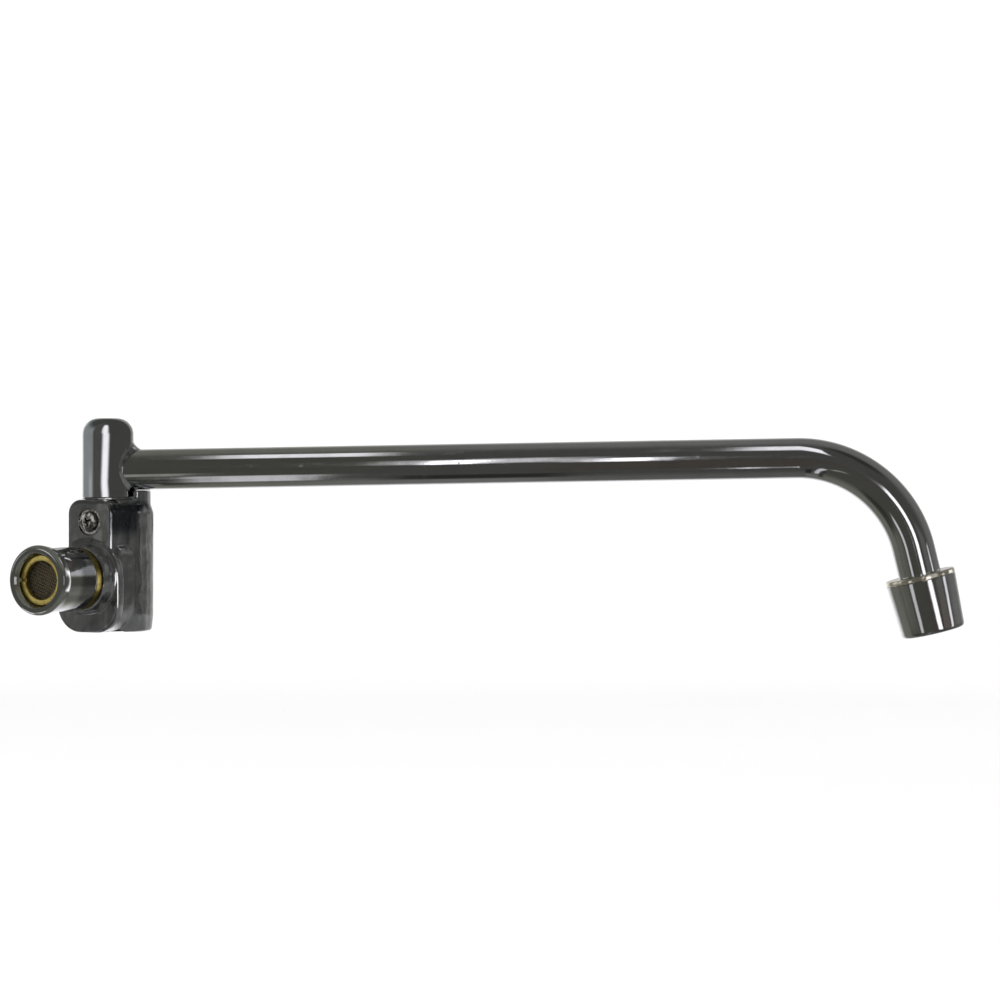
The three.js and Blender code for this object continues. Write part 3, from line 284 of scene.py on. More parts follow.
class Paint:
    """A material's node tree."""

    def __init__(self, name):
        self.material = bpy.data.materials.new(name)
        self.material.use_nodes = True
        self.tree = self.material.node_tree
        self.tree.nodes.clear()
        self.output = self.tree.nodes.new("ShaderNodeOutputMaterial")

    def node(self, kind, settings=None, **inputs):
        """One node: its settings first, then its sockets by name, or by number as _0."""
        made = self.tree.nodes.new(kind)
        for name, value in (settings or {}).items():
            setattr(made, name, value)
        for name, value in inputs.items():
            socket = made.inputs[int(name[1:]) if name[0] == "_" else name.replace("_", " ")]
            if isinstance(value, Field):
                self.tree.links.new(value.socket, socket)
            elif socket.type == "RGBA":
                socket.default_value = (*value, 1)
            else:
                socket.default_value = value
        return made

    def field(self, made, output=0):
        return Field(self, made.outputs[output])

    def math(self, operation, *values):
        inputs = {f"_{i}": value for i, value in enumerate(values)}
        return self.field(self.node("ShaderNodeMath", {"operation": operation}, **inputs))

    def vector_math(self, operation, *values, output=0):
        inputs = {f"_{i}": value for i, value in enumerate(values)}
        return self.field(self.node("ShaderNodeVectorMath", {"operation": operation}, **inputs), output)

    def place(self):
        return self.field(self.node("ShaderNodeTexCoord"), "Object")

    def noise(self, vector, scale, detail=3.0, roughness=0.5):
        return self.field(self.node(
            "ShaderNodeTexNoise", Vector=vector, Scale=scale, Detail=detail, Roughness=roughness,
        ))

    def between(self, value, low, high):
        """0 below low, 1 above high, smooth in between."""
        settings = {"interpolation_type": "SMOOTHSTEP"}
        made = self.node("ShaderNodeMapRange", settings, Value=value, From_Min=low, From_Max=high)
        return self.field(made)

    def band(self, value, centre, half, soft):
        """1 within half of the centre, fading to 0 over soft."""
        return 1 - self.between((value - centre).math("ABSOLUTE"), half, half + soft)

    def blend(self, factor, first, second):
        made = self.node("ShaderNodeMix", {"data_type": "RGBA"}, _0=factor, _6=first, _7=second)
        return self.field(made, 2)

    def bump(self, height, distance):
        return self.field(self.node("ShaderNodeBump", Height=height, Distance=distance))

    def finish(self, shader):
        self.tree.links.new(shader.outputs[0], self.output.inputs[0])
        return self.material

    def surface(self, colour, roughness, normal, metallic=1.0):
        return self.finish(self.node(
            "ShaderNodeBsdfPrincipled",
            Base_Color=colour, Roughness=roughness, Metallic=metallic, Normal=normal,
        ))


def within(paint, value, low, high):
    """1 inside a range. Low and high each give where their edge starts and ends."""
    return paint.between(value, *low) * (1 - paint.between(value, *high))


def casting_shade(paint, place):
    """Painted shade on the casting, in metres: its colour darkened to stand for a dark room it mirrors
    under the arm, beside the block and on the foot.
    """
    spot = paint.node("ShaderNodeSeparateXYZ", Vector=place)
    out, up = 0 - paint.field(spot, "X"), paint.field(spot, "Z")
    under_arm = within(paint, up, (0.015, 0.023), (0.031, 0.034))
    beside_block = within(paint, out, (0.0095, 0.0115), (0.0146, 0.0158))
    foot = within(paint, out, (-0.004, 0.001), (0.008, 0.01)) * (1 - paint.between(up, -0.016, -0.012))
    return beside_block * (0.3 + 0.62 * under_arm) + 0.35 * foot


def barrel_shade(paint, place):
    """Painted shade on the barrel: its colour darkened where it would mirror the lock ring and the casting.
    """
    spot = paint.node("ShaderNodeSeparateXYZ", Vector=place)
    return 0.6 * paint.between(0 - paint.field(spot, "Y"), 0.012, 0.0165)


def chrome(name, colour, wobble, wobble_scale, haze, shade=None):
    """Bright plate: a faint wobble, water haze and fine rubbing marks, and painted shade: the colour is
    darkened where a shade is given.
    """
    paint = Paint(name)
    place = paint.place()
    cloud = paint.noise(place, 55.0, 4.0, 0.6)
    fine = paint.noise(place, 900.0, 2.0)
    spots = paint.between(paint.noise(place, 260.0, 2.0, 0.7), 0.66, 0.74)
    roughness = haze * (0.8 + 0.7 * paint.between(cloud, 0.45, 0.75) + 0.4 * fine + 1.2 * spots)
    tint = paint.blend(paint.between(cloud, 0.4, 0.7), colour, tuple(c * 0.93 for c in colour))
    height = paint.noise(place, wobble_scale, 2.0) + 0.02 * fine
    if shade:
        # Painted shade: the plate's colour is blended towards a dark tint by the shade mask.
        tint = paint.blend(shade(paint, place), tint, PAINTED_SHADE_TINT)
    return paint.surface(tint, roughness, paint.bump(height, wobble * MM))


def brass(name, light, dark, axis_scale, haze=0.2):
    """Turned brass: fine tool rings and brown tarnish."""
    paint = Paint(name)
    place = paint.place()
    stretched = paint.field(paint.node("ShaderNodeMapping", Vector=place, Scale=axis_scale))
    rings = paint.noise(stretched, 1.0, 2.0)
    tarnish = paint.between(paint.noise(place, 160.0, 5.0, 0.65), 0.38, 0.68)
    tint = paint.blend(tarnish, light, dark)
    roughness = haze * (1 + 0.6 * rings + 0.9 * tarnish)
    return paint.surface(tint, roughness, paint.bump(rings, 0.02 * MM))


def steel(name, colour, low, high):
    """Drawn or pressed steel: clouded, with a fine grain."""
    paint = Paint(name)
    place = paint.place()
    stretched = paint.field(paint.node("ShaderNodeMapping", Vector=place, Scale=(300.0, 300.0, 4000.0)))
    grain = paint.noise(stretched, 1.0)
    cloud = paint.noise(place, 220.0, 4.0, 0.6)
    tint = paint.blend(cloud, colour, tuple(c * 0.7 for c in colour))
    return paint.surface(tint, low + (high - low) * cloud + 0.05 * grain, paint.bump(grain, 0.01 * MM))


def soft_solid(name, colour, other, roughness):
    """Rubber or moulded plastic: faint mottling and a fine grain."""
    paint = Paint(name)
    place = paint.place()
    mottle = paint.noise(place, 300.0, 4.0, 0.6)
    grain = paint.noise(place, 4000.0, 2.0)
    tint = paint.blend(mottle, colour, other)
    return paint.surface(tint, roughness + 0.1 * mottle, paint.bump(grain, 0.01 * MM), metallic=0.0)


CHROME = (0.7, 0.715, 0.71)
# Dark tint used for the painted shade on the chrome, not a kind of plate.
PAINTED_SHADE_TINT = (0.06, 0.07, 0.09)
cast_chrome = chrome("cast chrome", CHROME, wobble=1.5, wobble_scale=60.0, haze=0.12, shade=casting_shade)
tube_chrome = chrome("tube chrome", CHROME, wobble=0.03, wobble_scale=30.0, haze=0.05)
turned_chrome = chrome("turned chrome", CHROME, wobble=0.1, wobble_scale=80.0, haze=0.06)
barrel_chrome = chrome(
    "barrel chrome", CHROME, wobble=0.12, wobble_scale=80.0, haze=0.07, shade=barrel_shade,
)
turned_brass = brass("turned brass", (0.6, 0.5, 0.15), (0.32, 0.24, 0.06), (200.0, 4000.0, 200.0))
nozzle_brass = brass(
    "nozzle brass", (0.86, 0.82, 0.7), (0.6, 0.57, 0.48), (250.0, 250.0, 3500.0), haze=0.07,
)


def screw_metal():
    """Bright steel with painted shade in the cross recess and in the gap round the head."""
    paint = Paint("screw steel")
    place = paint.place()
    spot = paint.node("ShaderNodeSeparateXYZ", Vector=place)
    across = paint.field(spot, "X")
    up = paint.field(spot, "Z") - SCREW_HEIGHT * MM
    off_axis = (across * across + up * up).math("SQRT")
    crown = (SCREW_HEAD_FACE + SCREW_HEAD_HEIGHT - SWIVEL_TO_INLET) * MM
    sunk = paint.between(crown - paint.field(spot, "Y"), 0.0003, 0.0008)
    cross = sunk * (1 - paint.between(off_axis, 0.0024, 0.0028))
    gap_shade = paint.band(off_axis, SCREW_HEAD * MM, 0.0002, 0.0003)
    wear = paint.noise(place, 700.0, 3.0, 0.6)
    tint = paint.blend(wear, (0.86, 0.84, 0.78), (0.6, 0.58, 0.53))
    # Painted shade: the cross recess and the gap round the head are darkened in the colour.
    tint = paint.blend(0.93 * cross, tint, (0.03, 0.03, 0.03))
    tint = paint.blend(0.8 * gap_shade, tint, (0.05, 0.05, 0.05))
    return paint.surface(tint, 0.08 + 0.12 * wear, paint.bump(wear, 0.15 * MM))


screw_steel = screw_metal()
wire_steel = steel("wire steel", (0.5, 0.45, 0.33), 0.25, 0.4)
plain_steel = steel("plain steel", (0.6, 0.6, 0.6), 0.2, 0.35)
black_rubber = soft_solid("black rubber", (0.018, 0.018, 0.02), (0.03, 0.03, 0.03), 0.6)
white_plastic = soft_solid("white plastic", (0.78, 0.78, 0.74), (0.68, 0.68, 0.62), 0.4)

slot_material = {
    "chrome_plate": turned_chrome,
    "bare_brass": turned_brass,
    "stainless_steel": plain_steel,
    "black_rubber": black_rubber,
    "white_plastic": white_plastic,
}
for entry in frame["record"]["subparts"]:
    cad_mesh = frame["nodes"][entry["node"]].data
    cad_mesh.materials.clear()
    cad_mesh.materials.append(slot_material[entry["material_slot"]])

# ------------------------------------------------------------------ mesh making

SQUARE = ((-1, -1), (1, -1), (1, 1), (-1, 1))


def filleted(corners, steps=6):
    """Rounds the corners of a closed outline. Each corner is (x, y, radius)."""
    points = []
    for i, (x, y, radius) in enumerate(corners):
        here = Vector((x, y))
        to_last = Vector(corners[i - 1][:2]) - here
        to_next = Vector(corners[(i + 1) % len(corners)][:2]) - here
        if radius == 0:
            points.append(here)
            continue
        reach = radius / math.tan(to_last.angle(to_next) / 2)
        reach = min(reach, 0.48 * to_last.length, 0.48 * to_next.length)
        first = here + to_last.normalized() * reach
        last = here + to_next.normalized() * reach
        for step in range(steps + 1):
            t = step / steps
            points.append(first * (1 - t) ** 2 + here * 2 * t * (1 - t) + last * t**2)
    return points


def arc(centre_x, centre_y, radius, start, end, steps=24):
    """Outline corners on a round stretch, in degrees."""
    turns = np.radians(np.linspace(start, end, steps + 1))
    return [(centre_x + radius * math.cos(t), centre_y + radius * math.sin(t), 0) for t in turns]


def mesh_from(name, vertices, faces, place=Matrix()):
    """A mesh in metres from points in millimetres, merged and facing outwards."""
    mesh = bpy.data.meshes.new(name)
    mesh.from_pydata([place @ Vector(v) * MM for v in vertices], [], faces)
    build = bmesh.new()
    build.from_mesh(mesh)
    bmesh.ops.remove_doubles(build, verts=build.verts, dist=0.001 * MM)
    bmesh.ops.recalc_face_normals(build, faces=build.faces)
    build.to_mesh(mesh)
    build.free()
    return mesh


def lathe(name, corners, place, sides=ROUND, steps=6):
    """Turns a closed outline of (radius, height, corner radius) about local Z."""
    outline = filleted(corners, steps)
    count = len(outline)
    vertices = []
    for side in range(sides):
        turn = 2 * math.pi * side / sides
        vertices += [(p.x * math.cos(turn), p.x * math.sin(turn), p.y) for p in outline]
    faces = []
    for side in range(sides):
        for i in range(count):
            j = (i + 1) % count
            a, b = side * count, (side + 1) % sides * count
            faces.append((a + i, b + i, b + j, a + j))
    return mesh_from(name, vertices, faces, place)


def stacked(name, rings, place=Matrix()):
    """Skins a stack of equal rings of points and closes both ends."""
    count = len(rings[0])
    vertices = [point for ring in rings for point in ring]
    faces = []
    for level in range(len(rings) - 1):
        a, b = level * count, (level + 1) * count
        faces += [(a + i, a + (i + 1) % count, b + (i + 1) % count, b + i) for i in range(count)]
    faces.append(tuple(range(count)))
    faces.append(tuple(range((len(rings) - 1) * count, len(rings) * count)))
    return mesh_from(name, vertices, faces, place)


def joined(name, meshes):
    """One mesh that holds several, still unmerged."""
    build = bmesh.new()
    for mesh in meshes:
        build.from_mesh(mesh)
    mesh = bpy.data.meshes.new(name)
    build.to_mesh(mesh)
    build.free()
    return mesh


def show(mesh):
    thing = bpy.data.objects.new(mesh.name, mesh)
    bpy.context.scene.collection.objects.link(thing)
    return thing


def baked(thing):
    """The object's mesh with its modifiers applied. The object itself goes."""
    bpy.context.view_layer.update()
    depsgraph = bpy.context.evaluated_depsgraph_get()
    mesh = bpy.data.meshes.new_from_object(thing.evaluated_get(depsgraph))
    mesh.name = thing.name
    bpy.data.objects.remove(thing)
    return mesh


def cut(mesh, *tools):
    """The mesh with each tool taken out of it."""
    thing = show(mesh)
    cutters = [show(tool) for tool in tools]
    for cutter in cutters:
        modifier = thing.modifiers.new("cut", "BOOLEAN")
        modifier.operation = "DIFFERENCE"
        modifier.solver = "EXACT"
        modifier.object = cutter
    result = baked(thing)
    for cutter in cutters:
        bpy.data.objects.remove(cutter)
    return result


def piece(mesh, material, body, slot, *nodes, crease=30):
    """Puts a finished mesh in the scene on its body, in place of CAD nodes."""
    mesh.materials.clear()
    mesh.materials.append(material)
    mesh.shade_smooth()
    if crease:
        mesh.set_sharp_from_angle(angle=math.radians(crease))
    thing = show(mesh)
    thing.name = nodes[0].replace("_", "-")
    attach(thing, body)
    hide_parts(*nodes)
    return thing


# ------------------------------------------------------------------ body casting


def rounded_block(half, bottom, top, bottom_corner, top_corner):
    """Outline maker for a slab: the same corners at any inset."""

    def outline(inset):
        x, low, high = half - inset, bottom + inset, top - inset
        low_r, high_r = bottom_corner - inset, top_corner - inset
        return (
            arc(-x + low_r, low + low_r, low_r, 180, 270)
            + arc(x - low_r, low + low_r, low_r, 270, 360)
            + arc(x - high_r, high - high_r, high_r, 0, 90)
            + arc(-x + high_r, high - high_r, high_r, 90, 180)
        )

    return outline


def tongue_outline(inset):
    radius, corner, foot = TONGUE_RADIUS - inset, TONGUE_CORNER - inset, BODY_BOTTOM + inset
    return (
        arc(-radius + corner, foot + corner, corner, 180, 270)
        + arc(radius - corner, foot + corner, corner, 270, 360)
        + arc(0, 0, radius, 0, 180, 48)
    )


def slab(name, outline, back, face, edge):
    """A plate square to Y whose front edge is rounded."""
    levels = [(0, back), (0, face - edge)]
    for step in range(1, 7):
        turn = math.pi / 2 * step / 6
        levels.append((edge * (1 - math.cos(turn)), face - edge + edge * math.sin(turn)))
    rings = [[(x, along, z) for x, z, _ in outline(inset)] for inset, along in levels]
    return stacked(name, rings, inlet_frame)


def rear_barrel():
    shoulder = BODY_TOP - REAR_SHOULDER_DROP
    return lathe("rear barrel", [
        (0, BODY_BOTTOM, 0),
        (REAR_RADIUS - REAR_FOOT_TAPER, BODY_BOTTOM, 1.8),
        (REAR_RADIUS - REAR_DRAFT, BODY_BOTTOM + REAR_FOOT_RISE, 1),
        (REAR_RADIUS, shoulder - REAR_STRAIGHT, 3),
        (REAR_RADIUS, shoulder, 2),
        (NECK_RADIUS, shoulder + REAR_SHOULDER_SLOPE, 2),
        (NECK_RADIUS, BODY_TOP, 0),
        (0, BODY_TOP, 0),
    ], inlet_frame @ Matrix.Translation((0, -REAR_OFFSET, 0)))


def rear_lug():
    """The crescent that rises behind the post, under the arm."""
    outer = math.pi - math.acos((REAR_OFFSET - LUG_SETBACK) / NECK_RADIUS)
    inner = math.acos(LUG_SETBACK / LUG_RELIEF)
    crescent = [
        (NECK_RADIUS * math.sin(t), -REAR_OFFSET - NECK_RADIUS * math.cos(t))
        for t in np.linspace(-outer, outer, LUG_STEPS)
    ]
    crescent += [
        (LUG_RELIEF * math.sin(t), -LUG_RELIEF * math.cos(t))
        for t in np.linspace(inner, -inner, LUG_STEPS)
    ]
    rings = [[(x, y, z) for x, y in crescent] for z in (BODY_TOP - LUG_ROOT, LUG_TOP)]
    return stacked("rear lug", rings, inlet_frame)


def inlet_flare():
    """The hollow curve from the tongue plate to the inlet."""
    rim = TONGUE_RADIUS - TONGUE_EDGE
    start = TONGUE_FACE - TONGUE_EDGE
    curve = []
    for turn in np.radians(np.linspace(0, 90, 25)):
        curve.append((
            rim - (rim - FLARE_RADIUS) * math.sin(turn),
            FLARE_END - (FLARE_END - start) * math.cos(turn),
            0,
        ))
    back = TONGUE_BACK + OVERLAP
    corners = [(0, back, 0), (rim, back, 0), *curve, (0, FLARE_END, 0)]
    return lathe("inlet flare", corners, inlet_axis)


def rod(name, radius, low, high, place, sides=ROUND):
    return lathe(name, [(0, low, 0), (radius, low, 0), (radius, high, 0), (0, high, 0)], place, sides)


def casting():
    """The valve body: its forms melted into one skin, then bored."""
    upper = rounded_block(UPPER_BLOCK_HALF, 0, BODY_TOP, UPPER_FOOT_CORNER, UPPER_TOP_CORNER)
    lower = rounded_block(
        LOWER_BLOCK_HALF, BODY_BOTTOM, LOWER_BLOCK_TOP, LOWER_FOOT_CORNER, LOWER_TOP_CORNER,
    )
    blank = show(joined("valve body", [
        rear_barrel(),
        rear_lug(),
        slab("upper block", upper, -REAR_OFFSET, UPPER_FACE, BLOCK_EDGE),
        slab("lower block", lower, -REAR_OFFSET, LOWER_BLOCK_FACE, BLOCK_EDGE),
        slab("tongue", tongue_outline, TONGUE_BACK, TONGUE_FACE, TONGUE_EDGE),
        inlet_flare(),
    ]))
    remesh = blank.modifiers.new("cast skin", "REMESH")
    remesh.mode = "VOXEL"
    remesh.voxel_size = CAST_VOXEL * MM
    remesh.adaptivity = 0
    soften = blank.modifiers.new("cast edges", "SMOOTH")
    soften.factor = 0.5
    soften.iterations = CAST_SMOOTHING
    skin = baked(blank)
    port = lathe("inlet port", [
        (0, 0, 0),
        (PORT_RADIUS, 0, 0),
        (PORT_RADIUS, PORT_END, 0),
        (SEAT_POCKET, PORT_END, 0),
        (SEAT_POCKET, SEAT_POCKET_END, 0),
        (SPIGOT_HOLE, SEAT_POCKET_END, 0),
        (SPIGOT_HOLE, FLARE_END + OVERLAP, 0),
        (0, FLARE_END + OVERLAP, 0),
    ], inlet_axis)
    return cut(
        skin,
        rod("swivel bore", SWIVEL_BORE, CHAMBER_FLOOR, LUG_TOP + OVERLAP, inlet_frame),
        rod("plug bore", PLUG_BORE, BODY_BOTTOM - OVERLAP, PLUG_TOP, inlet_frame),
        rod("chamber mouth", CHAMBER_MOUTH, PLUG_TOP - OVERLAP, CHAMBER_FLOOR + OVERLAP, inlet_frame),
        port,
        rod(
            "screw hole", SCREW_RADIUS + CLEARANCE, SCREW_HOLE_START, UPPER_FACE + OVERLAP,
            screw_axis, SMALL_ROUND,
        ),
        rod(
            "screw recess", RECESS_RADIUS, UPPER_FACE - RECESS_DEPTH, TONGUE_FACE + 2 * OVERLAP,
            screw_axis,
        ),
    )


piece(casting(), cast_chrome, "base", "chrome_plate", "valve_body")

# ------------------------------------------------------------------ stop screw


def stop_screw():
    """Round-headed screw with a cross recess."""
    crown = SCREW_HEAD_FACE + SCREW_HEAD_HEIGHT
    blank = lathe("stop screw", [
        (0, SCREW_TIP, 0),
        (SCREW_RADIUS, SCREW_TIP, 0.4),
        (SCREW_RADIUS, SCREW_HEAD_FACE, 0),
        (SCREW_HEAD, SCREW_HEAD_FACE, 0.3),
        (SCREW_HEAD, crown - SCREW_CROWN_DROP, 0.8),
        (SCREW_HEAD * SCREW_CROWN_SHARE, crown, 1.6),
        (0, crown, 0),
    ], screw_axis, SMALL_ROUND)
    wings = []
    for turn in (CROSS_TURN, CROSS_TURN + 90):
        spin = screw_axis @ Matrix.Translation((0, 0, crown)) @ Matrix.Rotation(math.radians(turn), 4, "Z")
        rings = [
            [(x * span, y * width, height) for x, y in SQUARE]
            for span, width, height in CROSS_SECTIONS
        ]
        wings.append(stacked("cross wing", rings, spin))
    return cut(blank, *wings)


piece(stop_screw(), screw_steel, "base", "stainless_steel", "stop_screw")
piece(
    lathe("stop screw washer", [
        (SCREW_RADIUS + CLEARANCE, WASHER_FACE, 0),
        (WASHER_RADIUS, WASHER_FACE, 0.2),
        (WASHER_RADIUS, WASHER_FACE + WASHER_THICKNESS, 0.35),
        (SCREW_RADIUS + CLEARANCE, WASHER_FACE + WASHER_THICKNESS, 0),
    ], screw_axis, SMALL_ROUND),
    screw_steel, "base", "stainless_steel", "stop_screw_washer",
)

# ------------------------------------------------------------------ inlet


def thread_profile():
    """Two turns of the internal thread, from the mouth inwards."""
    points = []
    start = SWIVEL_TO_INLET - THREAD_START
    for turn in range(2):
        top = start - turn * THREAD_PITCH
        points += [
            (INLET_BORE, top, 0.1),
            (INLET_BORE + THREAD_DEPTH, top - THREAD_PITCH * 0.35, 0.1),
            (INLET_BORE, top - THREAD_PITCH * 0.7, 0.1),
        ]
    return points


end = SWIVEL_TO_INLET
collar_back = COLLAR_RADIUS - COLLAR_TAPER - COLLAR_ROUND_BACK
piece(
    lathe("inlet coupling", [
        (SPIGOT_BORE, SPIGOT_START, 0),
        (SPIGOT_RADIUS, SPIGOT_START, 0.3),
        (SPIGOT_RADIUS, BARREL_START, 0),
        (BARREL_RADIUS, BARREL_START, 0.7),
        *arc(collar_back, end - COLLAR_BACK, COLLAR_ROUND_BACK, -60, 0, 12),
        *arc(COLLAR_RADIUS - COLLAR_FRONT, end - COLLAR_FRONT, COLLAR_FRONT, 0, 90, 14),
        (LIP_INNER, end, 0.2),
        (INLET_BORE, end - LIP_BEVEL, 0.1),
        *thread_profile(),
        (INLET_BORE, INLET_STEP, 0),
        (SPIGOT_BORE, INLET_STEP, 0),
    ], inlet_axis),
    barrel_chrome, "base", "chrome_plate", "inlet_coupling",
)
piece(
    lathe("lock ring", [
        (SPIGOT_RADIUS + CLEARANCE, LOCK_RING_START, 0),
        (LOCK_RING_RADIUS, LOCK_RING_START, 0.5),
        (LOCK_RING_RADIUS, LOCK_RING_END, 0.5),
        (SPIGOT_RADIUS + CLEARANCE, LOCK_RING_END, 0),
    ], inlet_axis),
    turned_brass, "base", "bare_brass", "lock_ring",
)


def strainer_ring():
    """The ring that holds the strainer, with a slot for the driver."""
    blank = lathe("strainer ring", [
        (RING_HOLE, RING_BOTTOM, 0),
        (RING_OUTER, RING_BOTTOM, 0),
        (RING_OUTER, RING_TOP, 0.4),
        (RING_HOLE, RING_TOP, 0.8),
    ], inlet_axis)
    rings = [
        [(x * RING_SLOT_REACH, y * RING_SLOT / 2, z) for x, y in SQUARE]
        for z in (RING_TOP - RING_SLOT_DEPTH, RING_TOP + OVERLAP)
    ]
    return cut(blank, stacked("ring slot", rings, inlet_axis))


piece(strainer_ring(), turned_brass, "base", "bare_brass", "strainer_ring")

# ------------------------------------------------------------------ woven strainer


class Weave:
    """Geometry Nodes tree for a disc of crimped, plainly woven wire."""

    def __init__(self):
        self.tree = bpy.data.node_groups.new("woven disc", "GeometryNodeTree")
        self.tree.is_modifier = True
        self.named = {}
        for name in ("Disc Radius", "Pitch", "Wire Radius", "Crimp"):
            socket = self.tree.interface.new_socket(name, in_out="INPUT", socket_type="NodeSocketFloat")
            self.named[name] = socket.identifier
        self.tree.interface.new_socket("Geometry", in_out="OUTPUT", socket_type="NodeSocketGeometry")
        self.inlet = self.tree.nodes.new("NodeGroupInput")
        self.outlet = self.tree.nodes.new("NodeGroupOutput")

    def node(self, kind, settings=None, inputs=()):
        made = self.tree.nodes.new(kind)
        for name, value in (settings or {}).items():
            setattr(made, name, value)
        for key, value in dict(inputs).items():
            if isinstance(value, bpy.types.NodeSocket):
                self.tree.links.new(value, made.inputs[key])
            else:
                made.inputs[key].default_value = value
        return made

    def math(self, operation, *values):
        return self.node("ShaderNodeMath", {"operation": operation}, enumerate(values)).outputs[0]

    def spot(self):
        """X, Y and Z of each point."""
        position = self.node("GeometryNodeInputPosition").outputs[0]
        return self.node("ShaderNodeSeparateXYZ", inputs={0: position}).outputs

    def wires(self, sign, turn):
        """One family of wires along local X, each cut to the disc, then turned and crimped."""
        radius, pitch, wire, crimp = (self.inlet.outputs[i] for i in range(4))
        line = self.node("GeometryNodeCurvePrimitiveLine", inputs={"Start": (-1, 0, 0), "End": (1, 0, 0)})
        fine = self.node("GeometryNodeResampleCurve", inputs={
            "Curve": line.outputs[0], "Count": WIRE_POINTS,
        })
        rows = self.math("FLOOR", self.math("DIVIDE", self.math("MULTIPLY", radius, MESH_FILL), pitch))
        count = self.math("ADD", self.math("MULTIPLY", rows, 2), 1)
        outmost = self.math("MULTIPLY", self.math("MULTIPLY", rows, pitch), -1)
        first = self.node("ShaderNodeCombineXYZ", inputs={"Y": outmost})
        step = self.node("ShaderNodeCombineXYZ", inputs={"Y": pitch})
        points = self.node("GeometryNodeMeshLine", inputs={
            "Count": count, "Start Location": first.outputs[0], "Offset": step.outputs[0],
        })
        squares = (self.math("POWER", value, 2) for value in (radius, self.spot()[1]))
        half = self.math("SQRT", self.math("SUBTRACT", *squares))
        stretch = self.node("ShaderNodeCombineXYZ", inputs={"X": half, "Y": 1, "Z": 1})
        laid = self.node("GeometryNodeInstanceOnPoints", inputs={
            "Points": points.outputs[0], "Instance": fine.outputs[0], "Scale": stretch.outputs[0],
        })
        loose = self.node("GeometryNodeRealizeInstances", inputs={0: laid.outputs[0]})
        spot = self.spot()
        waves = [
            self.math("COSINE", self.math("DIVIDE", self.math("MULTIPLY", spot[i], math.pi), pitch))
            for i in (0, 1)
        ]
        lift = self.math("MULTIPLY", self.math("MULTIPLY", *waves), self.math("MULTIPLY", crimp, sign))
        shift = self.node("ShaderNodeCombineXYZ", inputs={"Z": lift})
        crimped = self.node("GeometryNodeSetPosition", inputs={
            "Geometry": loose.outputs[0], "Offset": shift.outputs[0],
        })
        circle = self.node("GeometryNodeCurvePrimitiveCircle", inputs={"Resolution": 6, "Radius": wire})
        tube = self.node("GeometryNodeCurveToMesh", inputs={
            "Curve": crimped.outputs[0], "Profile Curve": circle.outputs[0], "Fill Caps": True,
        })
        turned = self.node("GeometryNodeTransform", inputs={
            "Geometry": tube.outputs[0], "Rotation": (0, 0, turn),
        })
        return turned.outputs[0]

    def build(self, material):
        both = self.node("GeometryNodeJoinGeometry")
        for sign, turn in ((1, 0), (-1, math.pi / 2)):
            self.tree.links.new(self.wires(sign, turn), both.inputs[0])
        real = self.node("GeometryNodeRealizeInstances", inputs={0: both.outputs[0]})
        painted = self.node("GeometryNodeSetMaterial", inputs={
            "Geometry": real.outputs[0], "Material": material,
        })
        self.tree.links.new(painted.outputs[0], self.outlet.inputs[0])
        return self.tree


def woven_strainer():
    """The woven disc, made in metres and set behind its ring."""
    thing = show(bpy.data.meshes.new("woven strainer"))
    modifier = thing.modifiers.new("weave", "NODES")
    weave = Weave()
    modifier.node_group = weave.build(wire_steel)
    sizes = {
        "Disc Radius": MESH_RADIUS,
        "Pitch": MESH_PITCH,
        "Wire Radius": MESH_WIRE,
        "Crimp": MESH_CRIMP,
    }
    for name, value in sizes.items():
        modifier[weave.named[name]] = value * MM
    mesh = baked(thing)
    turned = Matrix.Rotation(math.radians(MESH_TURN), 4, "Z")
    place = inlet_axis @ Matrix.Translation((0, 0, MESH_PLACE)) @ turned
    place.translation *= MM
    mesh.transform(place)
    return mesh


piece(woven_strainer(), wire_steel, "base", "stainless_steel", "strainer_screen", crease=0)

# ------------------------------------------------------------------ post, arm and fillet


def post():
    """Domed, hollow post."""
    dome = arc(POST_RADIUS - POST_DOME, POST_TOP - POST_DOME, POST_DOME, 0, 90)
    wall = POST_RADIUS - POST_BORE
    under = arc(POST_RADIUS - POST_DOME, POST_TOP - POST_DOME, POST_DOME - wall, 90, 0)
    return lathe("spout post", [
        (POST_BORE, POST_BOTTOM, 0.1),
        (POST_RADIUS, POST_BOTTOM, 0.35),
        *dome,
        (0, POST_TOP, 0),
        (0, POST_TOP - wall, 0),
        *under,
    ], swivel_frame)


def spout_tube():
    """Arm, bend and tail in one tube, which widens a little round the bend."""
    straight = [TUBE_START, *np.linspace(ARM_FIRST_STATION, ARM_LENGTH, ARM_STATIONS)]
    stations = [(arm_station(0, x), TUBE_RADIUS) for x in straight]
    for share in np.linspace(0, 1, BEND_STATIONS + 1)[1:]:
        radius = TUBE_RADIUS + (TAIL_RADIUS - TUBE_RADIUS) * share
        stations.append((arm_station(bend * share, ARM_LENGTH), radius))
    tail = (TAIL_FIRST_STATION, TAIL_LENGTH, TAIL_LENGTH + TUBE_ENGAGEMENT)
    stations += [(arm_station(bend, ARM_LENGTH, t), TAIL_RADIUS) for t in tail]
    turns = np.linspace(0, 2 * math.pi, ROUND, endpoint=False)
    vertices = []
    for wall in (0, TUBE_WALL):
        for station, radius in stations:
            reach = radius - wall
            vertices += [station @ Vector((reach * math.cos(t), reach * math.sin(t), 0)) for t in turns]
    count = len(stations)
    bands = [(level, level + 1) for level in (*range(count - 1), *range(count, 2 * count - 1))]
    bands += [(0, count), (count - 1, 2 * count - 1)]
    faces = []
    for first, second in bands:
        a, b = first * ROUND, second * ROUND
        faces += [(a + i, a + (i + 1) % ROUND, b + (i + 1) % ROUND, b + i) for i in range(ROUND)]
    return mesh_from("spout tube", vertices, faces)


